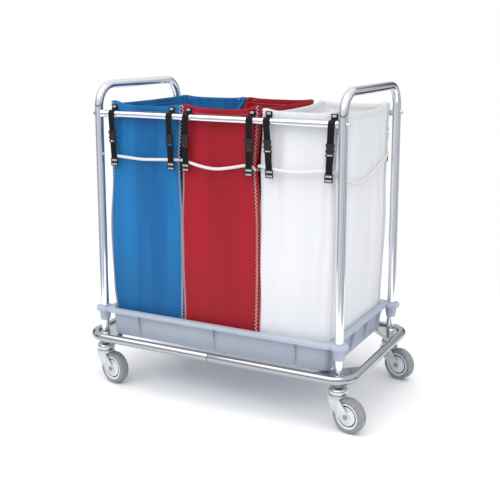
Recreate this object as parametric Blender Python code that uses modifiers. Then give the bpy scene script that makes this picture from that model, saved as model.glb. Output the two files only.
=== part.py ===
"""Laundry sorter on wheels: a chromed tube trolley that holds three open bags over a moulded tray.

The long side runs along X, the handles are at -X and +X, the front is at -Y, and Z is up.
Sizes are in metres. Every part hangs on one empty, which centres the whole model on the origin.
"""
import math

import bmesh
import bpy
from mathutils import Matrix, Vector

# Driving dimensions
POST_SPAN_X = 0.800
POST_SPAN_Y = 0.450
RAIL_HEIGHT = 0.860
HANDLE_HEIGHT = 0.945
BASE_HEIGHT = 0.153
BASE_MARGIN_X = 0.043
BASE_MARGIN_Y = 0.034
BASE_BEND = 0.060
HANDLE_BEND = 0.067
POST_RADIUS = 0.0127
RAIL_RADIUS = 0.010
BASE_RADIUS = 0.0135
GAP = 0.0003
TUBE_SIDES = 4
BEND_STEPS = 6

# Corner plates
PLATE_THICKNESS = 0.004
PLATE_DIAGONAL = 0.560
PLATE_LIP = 0.008

# Tray
TRAY_FLOOR = BASE_HEIGHT + PLATE_THICKNESS + GAP
TRAY_RIM_TOP = 0.247
TRAY_WALL = 0.003
TUB_TOP = (0.372, 0.230)
TUB_BOTTOM = (0.368, 0.226)
TUB_CORNER = 0.022
TUB_FOOT_ROUND = 0.010
RIM_SIZE = (0.390, 0.249)
RIM_CORNER = 0.026
RIM_DEPTH = 0.012
EAR_RADIUS = 0.027
COLLAR_BOTTOM = 0.203
COLLAR_RADII = (0.0195, 0.015)
POST_HOLE = POST_RADIUS + 0.0006
GUSSET_WIDTH = 0.003
GUSSET_REACH = 0.0155
FRONT_GUSSETS = (-0.267, 0.0, 0.267)
SIDE_GUSSETS = (-0.171, -0.057, 0.057, 0.171)

# Bags: centre at the mouth and at the foot, colour
BAGS = {
    "blue": (-0.243, -0.246, (0.03, 0.14, 0.42)),
    "red": (0.010, 0.007, (0.55, 0.02, 0.05)),
    "white": (0.262, 0.247, (0.85, 0.86, 0.88)),
}
BAG_TOP = 0.890
BAG_FOOT = TRAY_FLOOR + TRAY_WALL + GAP
BAG_CLOTH = 0.0025
BAG_CORNER = 0.022
# height, half width, half depth
BAG_SECTIONS = (
    (BAG_FOOT, 0.106, 0.202),
    (0.172, 0.112, 0.209),
    (0.210, 0.115, 0.212),
    (0.300, 0.118, 0.210),
    (0.560, 0.117, 0.211),
    (0.650, 0.1125, 0.212),
    (0.745, 0.1125, 0.212),
    (0.800, 0.115, 0.212),
    (BAG_TOP, 0.117, 0.212),
)

# Straps: where each crosses its rail from the bag's centre, and its lean to +X for each metre down
FRONT_STRAPS = {
    "blue": ((-0.105, 0.06), (0.100, 0.045)),
    "red": ((-0.096, 0.0), (0.112, 0.0)),
    "white": ((-0.086, 0.07), (0.108, -0.035)),
}
REAR_STRAPS = ((-0.098, 0.0), (0.098, 0.0))
WEB_WIDTH = 0.020
WEB_THICKNESS = 0.0016
WEB_PLANE = RAIL_RADIUS + 2 * GAP + WEB_THICKNESS / 2
STRAP_TAB_TOP = 0.033
BUCKLE_WIDTH = 0.024
BUCKLE_DEPTH = 0.0076
BUCKLE_TOP = -0.050
BUCKLE_SPLIT = -0.069
BUCKLE_BOTTOM = -0.086
PRONG_LENGTH = 0.014
SLIDER_TOP = -0.133
SLIDER_BOTTOM = -0.157
SLIDER_DEPTH = 0.0044
STRAP_END = -0.150

# Draw cords: the loop round a bag seen from above, from the bag's centre, and the heights along it
CORD_RADIUS = 0.0045
CORD_SIDES = 2
CORD_POINTS = 56
CORD_LEVEL = 0.733
CORD_PLAN = (
    (0.0995, 0.2298), (0.1115, 0.2255), (0.1178, 0.2100), (0.1178, 0.1200), (0.1178, 0.0000),
    (0.1178, -0.1200), (0.1178, -0.2080), (0.1110, -0.2240), (0.0970, -0.2298), (0.0450, -0.2298),
    (0.0000, -0.2298), (-0.0450, -0.2298), (-0.0970, -0.2298), (-0.1110, -0.2240),
    (-0.1178, -0.2080), (-0.1178, -0.1200), (-0.1178, 0.0000), (-0.1178, 0.1200),
    (-0.1178, 0.2080), (-0.1110, 0.2240), (-0.0970, 0.2298), (-0.0450, 0.2298),
    (0.0000, 0.2298), (0.0450, 0.2298), (0.0965, 0.2298),
)
CORD_HEIGHTS = {
    "blue": (
        0.733, 0.733, 0.731, 0.723, 0.719, 0.723, 0.731, 0.733, 0.733, 0.730, 0.728, 0.730, 0.733,
        0.733, 0.731, 0.722, 0.718, 0.722, 0.731, 0.733, 0.733, 0.727, 0.724, 0.727, 0.733,
    ),
    "red": (
        0.733, 0.733, 0.731, 0.723, 0.719, 0.723, 0.731, 0.733, 0.733, 0.721, 0.716, 0.720, 0.732,
        0.733, 0.731, 0.723, 0.719, 0.723, 0.731, 0.733, 0.733, 0.725, 0.721, 0.725, 0.733,
    ),
    "white": (
        0.733, 0.732, 0.726, 0.696, 0.675, 0.688, 0.724, 0.731, 0.733, 0.726, 0.722, 0.725, 0.733,
        0.733, 0.731, 0.723, 0.719, 0.723, 0.731, 0.733, 0.733, 0.727, 0.723, 0.727, 0.733,
    ),
}

# Casters: the direction in which each wheel trails, in degrees from +X
CASTER_ANGLES = {"fl": -12.0, "fr": -14.0, "rl": -13.0, "rr": -16.0}
CORNERS = {"fl": (-1, -1), "fr": (1, -1), "rl": (-1, 1), "rr": (1, 1)}
WHEEL_SIDES = 32
HUB_SIDES = 24
WHEEL_RADIUS = 0.050
WHEEL_TRAIL = 0.039
AXLE_HEIGHT = WHEEL_RADIUS * math.cos(math.pi / WHEEL_SIDES)
AXLE_RADIUS = 0.004
AXLE_HALF = 0.0245
HUB_RADIUS = 0.037
YOKE_TOP = 0.104
YOKE_PLATE = 0.003
YOKE_INNER = 0.0178
CASTER_HEAD_SIDES = 20

MODEL = bpy.data.collections.new("laundry_sorter")
CUTTERS = bpy.data.collections.new("cutters")


def clear_scene():
    for item in list(bpy.data.objects):
        bpy.data.objects.remove(item)
    bpy.context.scene.collection.children.link(MODEL)
    bpy.context.scene.collection.children.link(CUTTERS)


def material(name, colour, roughness, metallic=0.0):
    made = bpy.data.materials.new(name)
    made.use_nodes = True
    shader = made.node_tree.nodes["Principled BSDF"]
    shader.inputs["Base Color"].default_value = (*colour, 1.0)
    shader.inputs["Roughness"].default_value = roughness
    shader.inputs["Metallic"].default_value = metallic
    return made


def add_object(name, data, parent=None, location=(0, 0, 0), collection=MODEL):
    item = bpy.data.objects.new(name, data)
    collection.objects.link(item)
    item.parent = parent
    item.location = location
    return item


def paint(item, made):
    """Gives an object its own material without changing a mesh that it shares."""
    if not item.data.materials:
        item.data.materials.append(made)
    item.material_slots[0].link = "OBJECT"
    item.material_slots[0].material = made


def evaluated_mesh(item):
    """The mesh of an object with its modifiers applied, its loose caps welded; the object goes."""
    bpy.context.view_layer.update()
    graph = bpy.context.evaluated_depsgraph_get()
    mesh = bpy.data.meshes.new_from_object(item.evaluated_get(graph))
    mesh.name = item.name
    shape = bmesh.new()
    shape.from_mesh(mesh)
    bmesh.ops.remove_doubles(shape, verts=shape.verts, dist=1e-6)
    shape.to_mesh(mesh)
    shape.free()
    bpy.data.objects.remove(item)
    return mesh


def smooth(mesh, angle=35):
    mesh.shade_smooth()
    mesh.set_sharp_from_angle(angle=math.radians(angle))
    return mesh


def cutter(name, mesh):
    item = add_object(name, mesh, collection=CUTTERS)
    item.hide_render = True
    item.display_type = "WIRE"
    return item


def combine(item, operation, other):
    change = item.modifiers.new(other.name, "BOOLEAN")
    change.operation = operation
    change.object = other


def boxes_mesh(name, boxes):
    """One mesh of separate boxes, each given by its lowest and highest corner."""
    shape = bmesh.new()
    for low, high in boxes:
        low, high = Vector(low), Vector(high)
        place = Matrix.Translation((low + high) / 2) @ Matrix.Diagonal((*(high - low), 1.0))
        bmesh.ops.create_cube(shape, size=1.0, matrix=place)
    mesh = bpy.data.meshes.new(name)
    shape.to_mesh(mesh)
    shape.free()
    return mesh


def cones_mesh(name, cones, sides):
    """One mesh of separate upright cones or cylinders: place, lower radius, upper radius, height."""
    shape = bmesh.new()
    for (x, y, z), low, high, depth in cones:
        place = Matrix.Translation((x, y, z + depth / 2))
        bmesh.ops.create_cone(
            shape, cap_ends=True, segments=sides, radius1=low, radius2=high, depth=depth, matrix=place
        )
    mesh = bpy.data.meshes.new(name)
    shape.to_mesh(mesh)
    shape.free()
    return mesh


def rounded_rectangle(half_x, half_y, radius, steps=4):
    """Points round a rectangle with arcs at its corners, anticlockwise, from the -X -Y corner."""
    points = []
    for turn, (sx, sy) in enumerate(((-1, -1), (1, -1), (1, 1), (-1, 1))):
        centre = Vector((sx * (half_x - radius), sy * (half_y - radius)))
        for step in range(steps + 1):
            angle = math.pi + (turn + step / steps) * math.pi / 2
            points.append(centre + radius * Vector((math.cos(angle), math.sin(angle))))
    return points


def loft_mesh(name, rings, open_top=False):
    """A skin through rings of points from the bottom up, with flat ends."""
    shape = bmesh.new()
    loops = [[shape.verts.new(point) for point in ring] for ring in rings]
    count = len(loops[0])
    for lower, upper in zip(loops, loops[1:]):
        for i in range(count):
            j = (i + 1) % count
            shape.faces.new((lower[i], lower[j], upper[j], upper[i]))
    shape.faces.new(reversed(loops[0]))
    if not open_top:
        shape.faces.new(loops[-1])
    mesh = bpy.data.meshes.new(name)
    shape.to_mesh(mesh)
    shape.free()
    return mesh


def ring(points, z, shift=0.0):
    return [(point.x + shift, point.y, z) for point in points]


def prism_mesh(name, outline, low, high):
    return loft_mesh(name, (ring(outline, low), ring(outline, high)))


def turned(name, profile, sides, parent=None, location=(0, 0, 0)):
    """A profile at +X turned about Z. A profile that leaves the axis is a closed loop."""
    mesh = bpy.data.meshes.new(name)
    closed = profile[0][0] > 0
    edges = [(i, i + 1) for i in range(len(profile) - 1)]
    if closed:
        edges.append((len(profile) - 1, 0))
    mesh.from_pydata([(r, 0, z) for r, z in profile], edges, [])
    item = add_object(name, mesh, parent, location)
    screw = item.modifiers.new("turn", "SCREW")
    screw.steps = sides
    screw.render_steps = sides
    screw.use_merge_vertices = True
    screw.merge_threshold = 0.00001
    return item


def filleted(corners, radius, steps, closed=False):
    """A path through corners, each turned on an arc."""
    points = []
    count = len(corners)
    for i, corner in enumerate(corners):
        if not closed and i in (0, count - 1):
            points.append(corner)
            continue
        back = (corners[i - 1] - corner).normalized()
        ahead = (corners[(i + 1) % count] - corner).normalized()
        half = back.angle(ahead) / 2
        start = corner + back * radius / math.tan(half)
        centre = corner + (back + ahead).normalized() * radius / math.sin(half)
        axis = back.cross(ahead)
        for step in range(steps + 1):
            turn = Matrix.Rotation(-(math.pi - 2 * half) * step / steps, 3, axis)
            points.append(centre + turn @ (start - centre))
    return points


def tube(name, points, radius, sides, parent, closed=False):
    """A round bar along points, as a curve with a bevel."""
    curve = bpy.data.curves.new(name, "CURVE")
    curve.dimensions = "3D"
    curve.bevel_depth = radius
    curve.bevel_resolution = sides
    curve.use_fill_caps = not closed
    spline = curve.splines.new("POLY")
    spline.points.add(len(points) - 1)
    for place, point in zip(spline.points, points):
        place.co = (*point, 1.0)
    spline.use_cyclic_u = closed
    return add_object(name, curve, parent)


def make_base(root, chrome):
    half_x = POST_SPAN_X / 2 + BASE_MARGIN_X
    half_y = POST_SPAN_Y / 2 + BASE_MARGIN_Y
    corners = [
        Vector((sx * half_x, sy * half_y, BASE_HEIGHT))
        for sx, sy in ((-1, -1), (1, -1), (1, 1), (-1, 1))
    ]
    loop = tube(
        "base_loop", filleted(corners, BASE_BEND, BEND_STEPS, True), BASE_RADIUS, TUBE_SIDES, root, True
    )
    paint(loop, chrome)


def plate_mesh():
    """A three-cornered plate for the +X +Y corner, with a lip turned down along its long edge."""
    inset = BASE_RADIUS + GAP
    half_x = POST_SPAN_X / 2 + BASE_MARGIN_X - inset
    half_y = POST_SPAN_Y / 2 + BASE_MARGIN_Y - inset
    corners = (
        Vector((PLATE_DIAGONAL - half_y, half_y, 0)),
        Vector((half_x, half_y, 0)),
        Vector((half_x, PLATE_DIAGONAL - half_x, 0)),
    )
    outline = filleted(corners, BASE_BEND - inset, BEND_STEPS)
    outline.reverse()
    plate = add_object(
        "plate", prism_mesh("plate", outline, BASE_HEIGHT, BASE_HEIGHT + PLATE_THICKNESS)
    )
    edge = corners[2] - corners[0]
    middle = (corners[0] + corners[2]) / 2
    length = edge.length - 4 * PLATE_THICKNESS
    lip_box = boxes_mesh(
        "plate_lip",
        [((-length / 2, 0.0002, BASE_HEIGHT - PLATE_LIP), (length / 2, 0.003, BASE_HEIGHT + 0.001))],
    )
    lip_box.transform(Matrix.Translation(middle) @ Matrix.Rotation(math.radians(-45), 4, "Z"))
    combine(plate, "UNION", cutter("plate_lip", lip_box))
    return evaluated_mesh(plate)


def make_plates(root, chrome):
    mesh = plate_mesh()
    for corner, (sx, sy) in CORNERS.items():
        side = mesh.copy()
        side.transform(Matrix.Diagonal((sx, sy, 1, 1)))
        if sx * sy < 0:
            side.flip_normals()
        paint(add_object(f"corner_plate_{corner}", side, root), chrome)


def make_end_frames(root, chrome):
    foot = BASE_HEIGHT + PLATE_THICKNESS + GAP
    half_y = POST_SPAN_Y / 2
    for name, sx in (("left", -1), ("right", 1)):
        x = sx * POST_SPAN_X / 2
        corners = [
            Vector((x, -half_y, foot)),
            Vector((x, -half_y, HANDLE_HEIGHT)),
            Vector((x, half_y, HANDLE_HEIGHT)),
            Vector((x, half_y, foot)),
        ]
        path = filleted(corners, HANDLE_BEND, BEND_STEPS + 2)
        paint(tube(f"end_frame_{name}", path, POST_RADIUS, TUBE_SIDES, root), chrome)


def make_rails(root, chrome):
    end = POST_SPAN_X / 2 - POST_RADIUS - GAP
    for name, sy in (("front", -1), ("rear", 1)):
        y = sy * POST_SPAN_Y / 2
        path = [Vector((-end, y, RAIL_HEIGHT)), Vector((end, y, RAIL_HEIGHT))]
        paint(tube(f"{name}_rail", path, RAIL_RADIUS, TUBE_SIDES, root), chrome)


def post_places():
    return [(sx * POST_SPAN_X / 2, sy * POST_SPAN_Y / 2) for sx, sy in CORNERS.values()]


def gusset_mesh():
    """Webs under the rim, each a wedge that runs out down the wall."""
    shape = bmesh.new()
    lip_inner = RIM_SIZE[1] - TUB_TOP[1] - 0.001
    wedge = (
        (-0.0020, TRAY_RIM_TOP - 0.001),
        (lip_inner, TRAY_RIM_TOP - 0.001),
        (lip_inner, TRAY_RIM_TOP - RIM_DEPTH + 0.002),
        (GUSSET_REACH, TRAY_RIM_TOP - RIM_DEPTH - 0.004),
        (-0.0015, TRAY_FLOOR + 0.012),
        (-0.0062, TRAY_FLOOR + 0.012),
    )
    places = [(x, side * math.pi / 2, TUB_TOP[1]) for x in FRONT_GUSSETS for side in (-1, 1)]
    places += [(y, (1 - side) * math.pi / 2, TUB_TOP[0]) for y in SIDE_GUSSETS for side in (-1, 1)]
    for along, angle, wall in places:
        out = Vector((math.cos(angle), math.sin(angle), 0))
        across = Vector((abs(out.y), abs(out.x), 0))
        side = across * GUSSET_WIDTH / 2
        faces = [
            [shape.verts.new(across * along + out * (wall + reach) + Vector((0, 0, z)) + shift)
             for reach, z in wedge]
            for shift in (-side, side)
        ]
        count = len(wedge)
        for i in range(count):
            j = (i + 1) % count
            shape.faces.new((faces[0][i], faces[0][j], faces[1][j], faces[1][i]))
        shape.faces.new(reversed(faces[0]))
        shape.faces.new(faces[1])
    bmesh.ops.recalc_face_normals(shape, faces=shape.faces)
    mesh = bpy.data.meshes.new("tray_gussets")
    shape.to_mesh(mesh)
    shape.free()
    return mesh


def make_tray(root, plastic):
    """A tub with a turned-down rim, an ear with a tapered collar round each post, and webs."""
    rim_low = TRAY_RIM_TOP - RIM_DEPTH
    wall = TRAY_WALL
    rim = rounded_rectangle(*RIM_SIZE, RIM_CORNER)
    inner_rim = rounded_rectangle(RIM_SIZE[0] - wall, RIM_SIZE[1] - wall, RIM_CORNER - wall)
    tray = add_object("tray_rim", prism_mesh("tray_rim", rim, rim_low, TRAY_RIM_TOP))
    ears = [((x, y, rim_low), EAR_RADIUS, EAR_RADIUS, RIM_DEPTH) for x, y in post_places()]
    hollow = [((x, y, rim_low - wall), EAR_RADIUS - wall, EAR_RADIUS - wall, RIM_DEPTH)
              for x, y in post_places()]
    collar_height = TRAY_RIM_TOP - wall / 2 - COLLAR_BOTTOM
    collars = [((x, y, COLLAR_BOTTOM), COLLAR_RADII[1], COLLAR_RADII[0], collar_height)
               for x, y in post_places()]
    holes = [((x, y, COLLAR_BOTTOM - wall), POST_HOLE, POST_HOLE, 2 * collar_height)
             for x, y in post_places()]

    def tub_ring(size, z, inset=0.0):
        return ring(rounded_rectangle(size[0] - inset, size[1] - inset, TUB_CORNER - inset), z)

    foot = TUB_FOOT_ROUND
    tub = loft_mesh("tray_tub", (
        tub_ring(TUB_BOTTOM, TRAY_FLOOR, foot),
        tub_ring(TUB_BOTTOM, TRAY_FLOOR + 0.13 * foot, foot / 2),
        tub_ring(TUB_BOTTOM, TRAY_FLOOR + 0.5 * foot, 0.13 * foot),
        tub_ring(TUB_BOTTOM, TRAY_FLOOR + foot),
        tub_ring(TUB_TOP, TRAY_RIM_TOP - wall / 2),
    ))
    inside = loft_mesh("tray_inside", (
        tub_ring(TUB_BOTTOM, TRAY_FLOOR + wall, foot),
        tub_ring(TUB_BOTTOM, TRAY_FLOOR + foot, wall + 0.13 * foot),
        tub_ring(TUB_TOP, TRAY_RIM_TOP + wall, wall),
    ))
    steps = (
        ("UNION", cones_mesh("tray_ears", ears, 32)),
        ("DIFFERENCE", prism_mesh("tray_under_rim", inner_rim, rim_low - wall, TRAY_RIM_TOP - wall)),
        ("DIFFERENCE", cones_mesh("tray_under_ears", hollow, 32)),
        ("UNION", tub),
        ("UNION", cones_mesh("tray_collars", collars, 24)),
        ("UNION", gusset_mesh()),
        ("DIFFERENCE", inside),
        ("DIFFERENCE", cones_mesh("tray_holes", holes, 24)),
    )
    for operation, mesh in steps:
        combine(tray, operation, cutter(mesh.name, mesh))
    finished = smooth(evaluated_mesh(tray))
    paint(add_object("tray", finished, root), plastic)


def bag_centre(name, z):
    """The bag's middle in X at a height: the mouth and the foot are not quite in line."""
    top_centre, foot_centre, _ = BAGS[name]
    return foot_centre + (top_centre - foot_centre) * (z - BAG_FOOT) / (BAG_TOP - BAG_FOOT)


def make_bag(root, name, colour):
    """An open bag: rounded rectangles from foot to mouth, and a cloth wall inside that skin."""
    rings = []
    for z, half_x, half_y in BAG_SECTIONS:
        outline = rounded_rectangle(half_x, half_y, BAG_CORNER, 3)
        rings.append(ring(outline, z, bag_centre(name, z)))
    bag = add_object(f"bag_{name}", loft_mesh(f"bag_{name}", rings, open_top=True), root)
    wall = bag.modifiers.new("cloth", "SOLIDIFY")
    wall.thickness = BAG_CLOTH
    wall.offset = -1.0
    paint(bag, material(f"{name}_cloth", colour, 0.85))


def strip_mesh(name, path, thickness, width):
    """A flat band of even thickness that follows a path in the YZ plane, width along X."""
    left, right = [], []
    for i, point in enumerate(path):
        ahead = path[min(i + 1, len(path) - 1)] - path[max(i - 1, 0)]
        side = Vector((-ahead.y, ahead.x)).normalized() * thickness / 2
        left.append(point + side)
        right.append(point - side)
    outline = left + right[::-1]
    mesh = loft_mesh(name, [[(x, p.x, p.y) for p in outline] for x in (-width / 2, width / 2)])
    shape = bmesh.new()
    shape.from_mesh(mesh)
    bmesh.ops.recalc_face_normals(shape, faces=shape.faces)
    shape.to_mesh(mesh)
    shape.free()
    return mesh


def strap_meshes():
    """Both halves of a front strap, from the rail's axis: the hook half and the clip half."""
    plane = -WEB_PLANE
    tab = POST_SPAN_Y / 2 - 0.212 - GAP - WEB_THICKNESS / 2
    over = [Vector((tab, STRAP_TAB_TOP)), Vector((tab, STRAP_TAB_TOP - 0.011))]
    for step in range(10):
        angle = math.radians(63 + 13 * step)
        over.append(Vector((math.cos(angle), math.sin(angle))) * WEB_PLANE)
    over.append(Vector((plane, (BUCKLE_TOP + BUCKLE_SPLIT) / 2 + 0.006)))
    half = BUCKLE_WIDTH / 2
    depth = BUCKLE_DEPTH / 2
    upper = add_object("upper", strip_mesh("upper", over, WEB_THICKNESS, WEB_WIDTH))
    socket = boxes_mesh("socket", [
        ((-half, plane - depth, BUCKLE_SPLIT), (half, plane + depth, BUCKLE_TOP)),
    ])
    pocket = boxes_mesh("pocket", [
        ((-0.0088, plane - 0.0026, BUCKLE_SPLIT - 0.004),
         (0.0088, plane + 0.0026, BUCKLE_SPLIT + PRONG_LENGTH + 0.001)),
    ])
    combine(upper, "UNION", cutter("strap_socket", socket))
    combine(upper, "DIFFERENCE", cutter("strap_pocket", pocket))

    shoulder = boxes_mesh("shoulder", [
        ((-half, plane - depth, BUCKLE_BOTTOM), (half, plane + depth, BUCKLE_SPLIT - GAP)),
    ])
    lower = add_object("lower", shoulder)
    prongs = boxes_mesh("prongs", [
        ((-0.0080, plane - 0.0018, BUCKLE_SPLIT - 0.004),
         (-0.0045, plane + 0.0018, BUCKLE_SPLIT + PRONG_LENGTH - 0.001)),
        ((0.0045, plane - 0.0018, BUCKLE_SPLIT - 0.004),
         (0.0080, plane + 0.0018, BUCKLE_SPLIT + PRONG_LENGTH - 0.001)),
    ])
    web = boxes_mesh("web", [
        ((-WEB_WIDTH / 2, plane - WEB_THICKNESS / 2, STRAP_END),
         (WEB_WIDTH / 2, plane + WEB_THICKNESS / 2, BUCKLE_BOTTOM + 0.003)),
    ])
    slider = boxes_mesh("slider", [
        ((-half, plane - SLIDER_DEPTH / 2, SLIDER_BOTTOM), (half, plane + 0.0012, SLIDER_TOP)),
    ])
    combine(lower, "UNION", cutter("strap_prongs", prongs))
    combine(lower, "UNION", cutter("strap_web", web))
    combine(lower, "UNION", cutter("strap_slider", slider))
    return evaluated_mesh(upper), evaluated_mesh(lower)


def make_straps(root, webbing):
    upper, lower = strap_meshes()
    for bag, (centre, _, _) in BAGS.items():
        rows = (("front", FRONT_STRAPS[bag], -1), ("rear", REAR_STRAPS, 1))
        for row, places, sy in rows:
            for side, (offset, lean) in zip(("left", "right"), places):
                anchor = add_object(
                    f"strap_{row}_{bag}_{side}_anchor", None, root,
                    (centre + offset, sy * POST_SPAN_Y / 2, RAIL_HEIGHT),
                )
                anchor.rotation_euler.z = math.pi if sy > 0 else 0.0
                for part, mesh in (("strap", upper), ("clip", lower)):
                    leaning = mesh.copy()
                    leaning.transform(Matrix.Shear("XY", 4, (-lean, 0.0)))
                    paint(add_object(f"{part}_{row}_{bag}_{side}", leaning, anchor), webbing)


def smooth_points(points, count):
    """Points evenly spaced in length along a Catmull-Rom curve through the given points."""
    ends = [points[0] * 2 - points[1], *points, points[-1] * 2 - points[-2]]
    fine = []
    pieces = 12
    for a, b, c, d in zip(ends, ends[1:], ends[2:], ends[3:]):
        for step in range(pieces):
            t = step / pieces
            fine.append(
                0.5 * (2 * b + (c - a) * t + (2 * a - 5 * b + 4 * c - d) * t ** 2
                       + (3 * b - a - 3 * c + d) * t ** 3)
            )
    fine.append(points[-1])
    lengths = [0.0]
    for a, b in zip(fine, fine[1:]):
        lengths.append(lengths[-1] + (b - a).length)
    even = []
    for step in range(count):
        goal = lengths[-1] * step / (count - 1)
        i = next(k for k in range(1, len(fine)) if lengths[k] >= goal - 1e-12)
        share = (goal - lengths[i - 1]) / (lengths[i] - lengths[i - 1])
        even.append(fine[i - 1].lerp(fine[i], share))
    return even


def make_cords(root, cotton):
    for bag, heights in CORD_HEIGHTS.items():
        centre = bag_centre(bag, CORD_LEVEL)
        route = [Vector((centre + x, y, z)) for (x, y), z in zip(CORD_PLAN, heights)]
        path = smooth_points(route, CORD_POINTS)
        paint(tube(f"drawcord_{bag}", path, CORD_RADIUS, CORD_SIDES, root), cotton)


def yoke_mesh():
    """A crown with two swept legs that reach back to the axle, drilled for it."""
    crown = cones_mesh("yoke", [((0, 0, YOKE_TOP - YOKE_PLATE), 0.025, 0.025, YOKE_PLATE)], 24)
    yoke = add_object("yoke", crown)
    corners = (
        Vector((-0.022, YOKE_TOP - 0.0006, 0)),
        Vector((-0.022, 0.088, 0)),
        Vector((0.000, 0.056, 0)),
        Vector((0.024, AXLE_HEIGHT - 0.0135, 0)),
        Vector((WHEEL_TRAIL + 0.0115, AXLE_HEIGHT - 0.0115, 0)),
        Vector((WHEEL_TRAIL + 0.0125, AXLE_HEIGHT + 0.005, 0)),
        Vector((0.0150, YOKE_TOP - 0.007, 0)),
        Vector((0.0135, YOKE_TOP - 0.0006, 0)),
    )
    outline = [corners[0], corners[1], corners[2], *filleted(corners[2:7], 0.006, 3)[1:-1],
               corners[6], corners[7]]
    legs = bmesh.new()
    for low, high in ((-YOKE_INNER - YOKE_PLATE, -YOKE_INNER), (YOKE_INNER, YOKE_INNER + YOKE_PLATE)):
        faces = [[legs.verts.new((p.x, y, p.y)) for p in outline] for y in (low, high)]
        count = len(outline)
        for i in range(count):
            j = (i + 1) % count
            legs.faces.new((faces[0][i], faces[0][j], faces[1][j], faces[1][i]))
        legs.faces.new(reversed(faces[0]))
        legs.faces.new(faces[1])
    bmesh.ops.recalc_face_normals(legs, faces=legs.faces)
    leg_mesh = bpy.data.meshes.new("yoke_legs")
    legs.to_mesh(leg_mesh)
    legs.free()
    bore = cones_mesh("yoke_bore", [((0, 0, -0.05), AXLE_RADIUS + GAP, AXLE_RADIUS + GAP, 0.1)], 16)
    bore.transform(
        Matrix.Translation((WHEEL_TRAIL, 0, AXLE_HEIGHT)) @ Matrix.Rotation(math.pi / 2, 4, "X")
    )
    combine(yoke, "UNION", cutter("yoke_legs", leg_mesh))
    combine(yoke, "DIFFERENCE", cutter("yoke_bore", bore))
    return smooth(evaluated_mesh(yoke))


def head_profile():
    """The fixed bearing cup under a corner plate: a neck, a dished top and a rounded skirt."""
    top = BASE_HEIGHT - GAP
    return (
        (0.0, top), (0.011, top), (0.011, 0.1240), (0.0150, 0.1215), (0.0220, 0.1235),
        (0.0262, 0.1200), (0.0280, 0.1140), (0.0268, 0.1080), (0.0240, YOKE_TOP + GAP),
        (0.0, YOKE_TOP + GAP),
    )


def hub_profile():
    """A wheel centre with a raised boss, a dished face and a rim, on both sides."""
    bore = AXLE_RADIUS + GAP
    face = ((HUB_RADIUS, 0.0135), (0.0330, 0.0150), (0.0300, 0.0120), (0.0140, 0.0130),
            (0.0120, 0.0168), (bore, 0.0168))
    outer = [(r, z) for r, z in face]
    return outer[::-1] + [(r, -z) for r, z in face]


def tyre_profile():
    """A solid tyre with a flat tread and rounded shoulders."""
    inner = HUB_RADIUS + GAP
    side = ((inner, 0.0140), (0.0430, 0.0160), (0.0475, 0.0145), (WHEEL_RADIUS, 0.0100))
    return list(side) + [(r, -z) for r, z in side[::-1]]


def axle_profile():
    return ((0.0, AXLE_HALF), (0.003, AXLE_HALF), (AXLE_RADIUS, AXLE_HALF - 0.001),
            (AXLE_RADIUS, 0.001 - AXLE_HALF), (0.003, -AXLE_HALF), (0.0, -AXLE_HALF))


def make_casters(root, chrome, zinc, rubber, plastic, steel):
    yoke = yoke_mesh()
    shapes = {
        "head": evaluated_mesh(turned("head", head_profile(), CASTER_HEAD_SIDES)),
        "tyre": evaluated_mesh(turned("tyre", tyre_profile(), WHEEL_SIDES)),
        "hub": evaluated_mesh(turned("hub", hub_profile(), HUB_SIDES)),
        "axle": evaluated_mesh(turned("axle", axle_profile(), 16)),
    }
    for mesh in shapes.values():
        smooth(mesh)
    looks = {"tyre": rubber, "hub": plastic, "axle": steel}
    for corner, (sx, sy) in CORNERS.items():
        place = (sx * POST_SPAN_X / 2, sy * POST_SPAN_Y / 2, 0)
        paint(add_object(f"caster_{corner}_head", shapes["head"], root, place), chrome)
        pivot = add_object(f"caster_{corner}_pivot", None, root, place)
        pivot.rotation_euler.z = math.radians(CASTER_ANGLES[corner])
        paint(add_object(f"caster_{corner}_yoke", yoke, pivot), zinc)
        line = add_object(
            f"caster_{corner}_axle_line", None, pivot, (WHEEL_TRAIL, 0, AXLE_HEIGHT)
        )
        line.rotation_euler.x = math.pi / 2
        for part, look in looks.items():
            piece = add_object(f"caster_{corner}_{part}", shapes[part], line)
            piece.rotation_euler.z = math.pi / WHEEL_SIDES
            paint(piece, look)


def centre_on_origin(root):
    """Moves the root so that the model's box, without its cords, is centred over the origin."""
    bpy.context.view_layer.update()
    graph = bpy.context.evaluated_depsgraph_get()
    corners = []
    for item in MODEL.objects:
        if item.type == "EMPTY" or item.name.startswith("drawcord"):
            continue
        mesh = item.evaluated_get(graph).to_mesh()
        corners += [item.matrix_world @ vertex.co for vertex in mesh.vertices]
    for axis in (0, 1):
        low = min(corner[axis] for corner in corners)
        high = max(corner[axis] for corner in corners)
        root.location[axis] = -(low + high) / 2


def main():
    clear_scene()
    root = add_object("sorter_root", None)
    chrome = material("chrome", (0.80, 0.80, 0.82), 0.12, 1.0)
    zinc = material("zinc_plate", (0.70, 0.72, 0.73), 0.35, 1.0)
    steel = material("steel", (0.62, 0.63, 0.65), 0.30, 1.0)
    plastic = material("tray_plastic", (0.40, 0.44, 0.55), 0.45)
    hub_plastic = material("hub_plastic", (0.62, 0.68, 0.74), 0.45)
    rubber = material("rubber", (0.16, 0.17, 0.18), 0.80)
    webbing = material("black_webbing", (0.015, 0.015, 0.017), 0.60)
    cotton = material("cord_cotton", (0.85, 0.84, 0.80), 0.90)
    make_base(root, chrome)
    make_plates(root, chrome)
    make_end_frames(root, chrome)
    make_rails(root, chrome)
    make_tray(root, plastic)
    for name, (_, _, colour) in BAGS.items():
        make_bag(root, name, colour)
    make_straps(root, webbing)
    make_cords(root, cotton)
    make_casters(root, chrome, zinc, rubber, hub_plastic, steel)
    centre_on_origin(root)


main()
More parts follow.
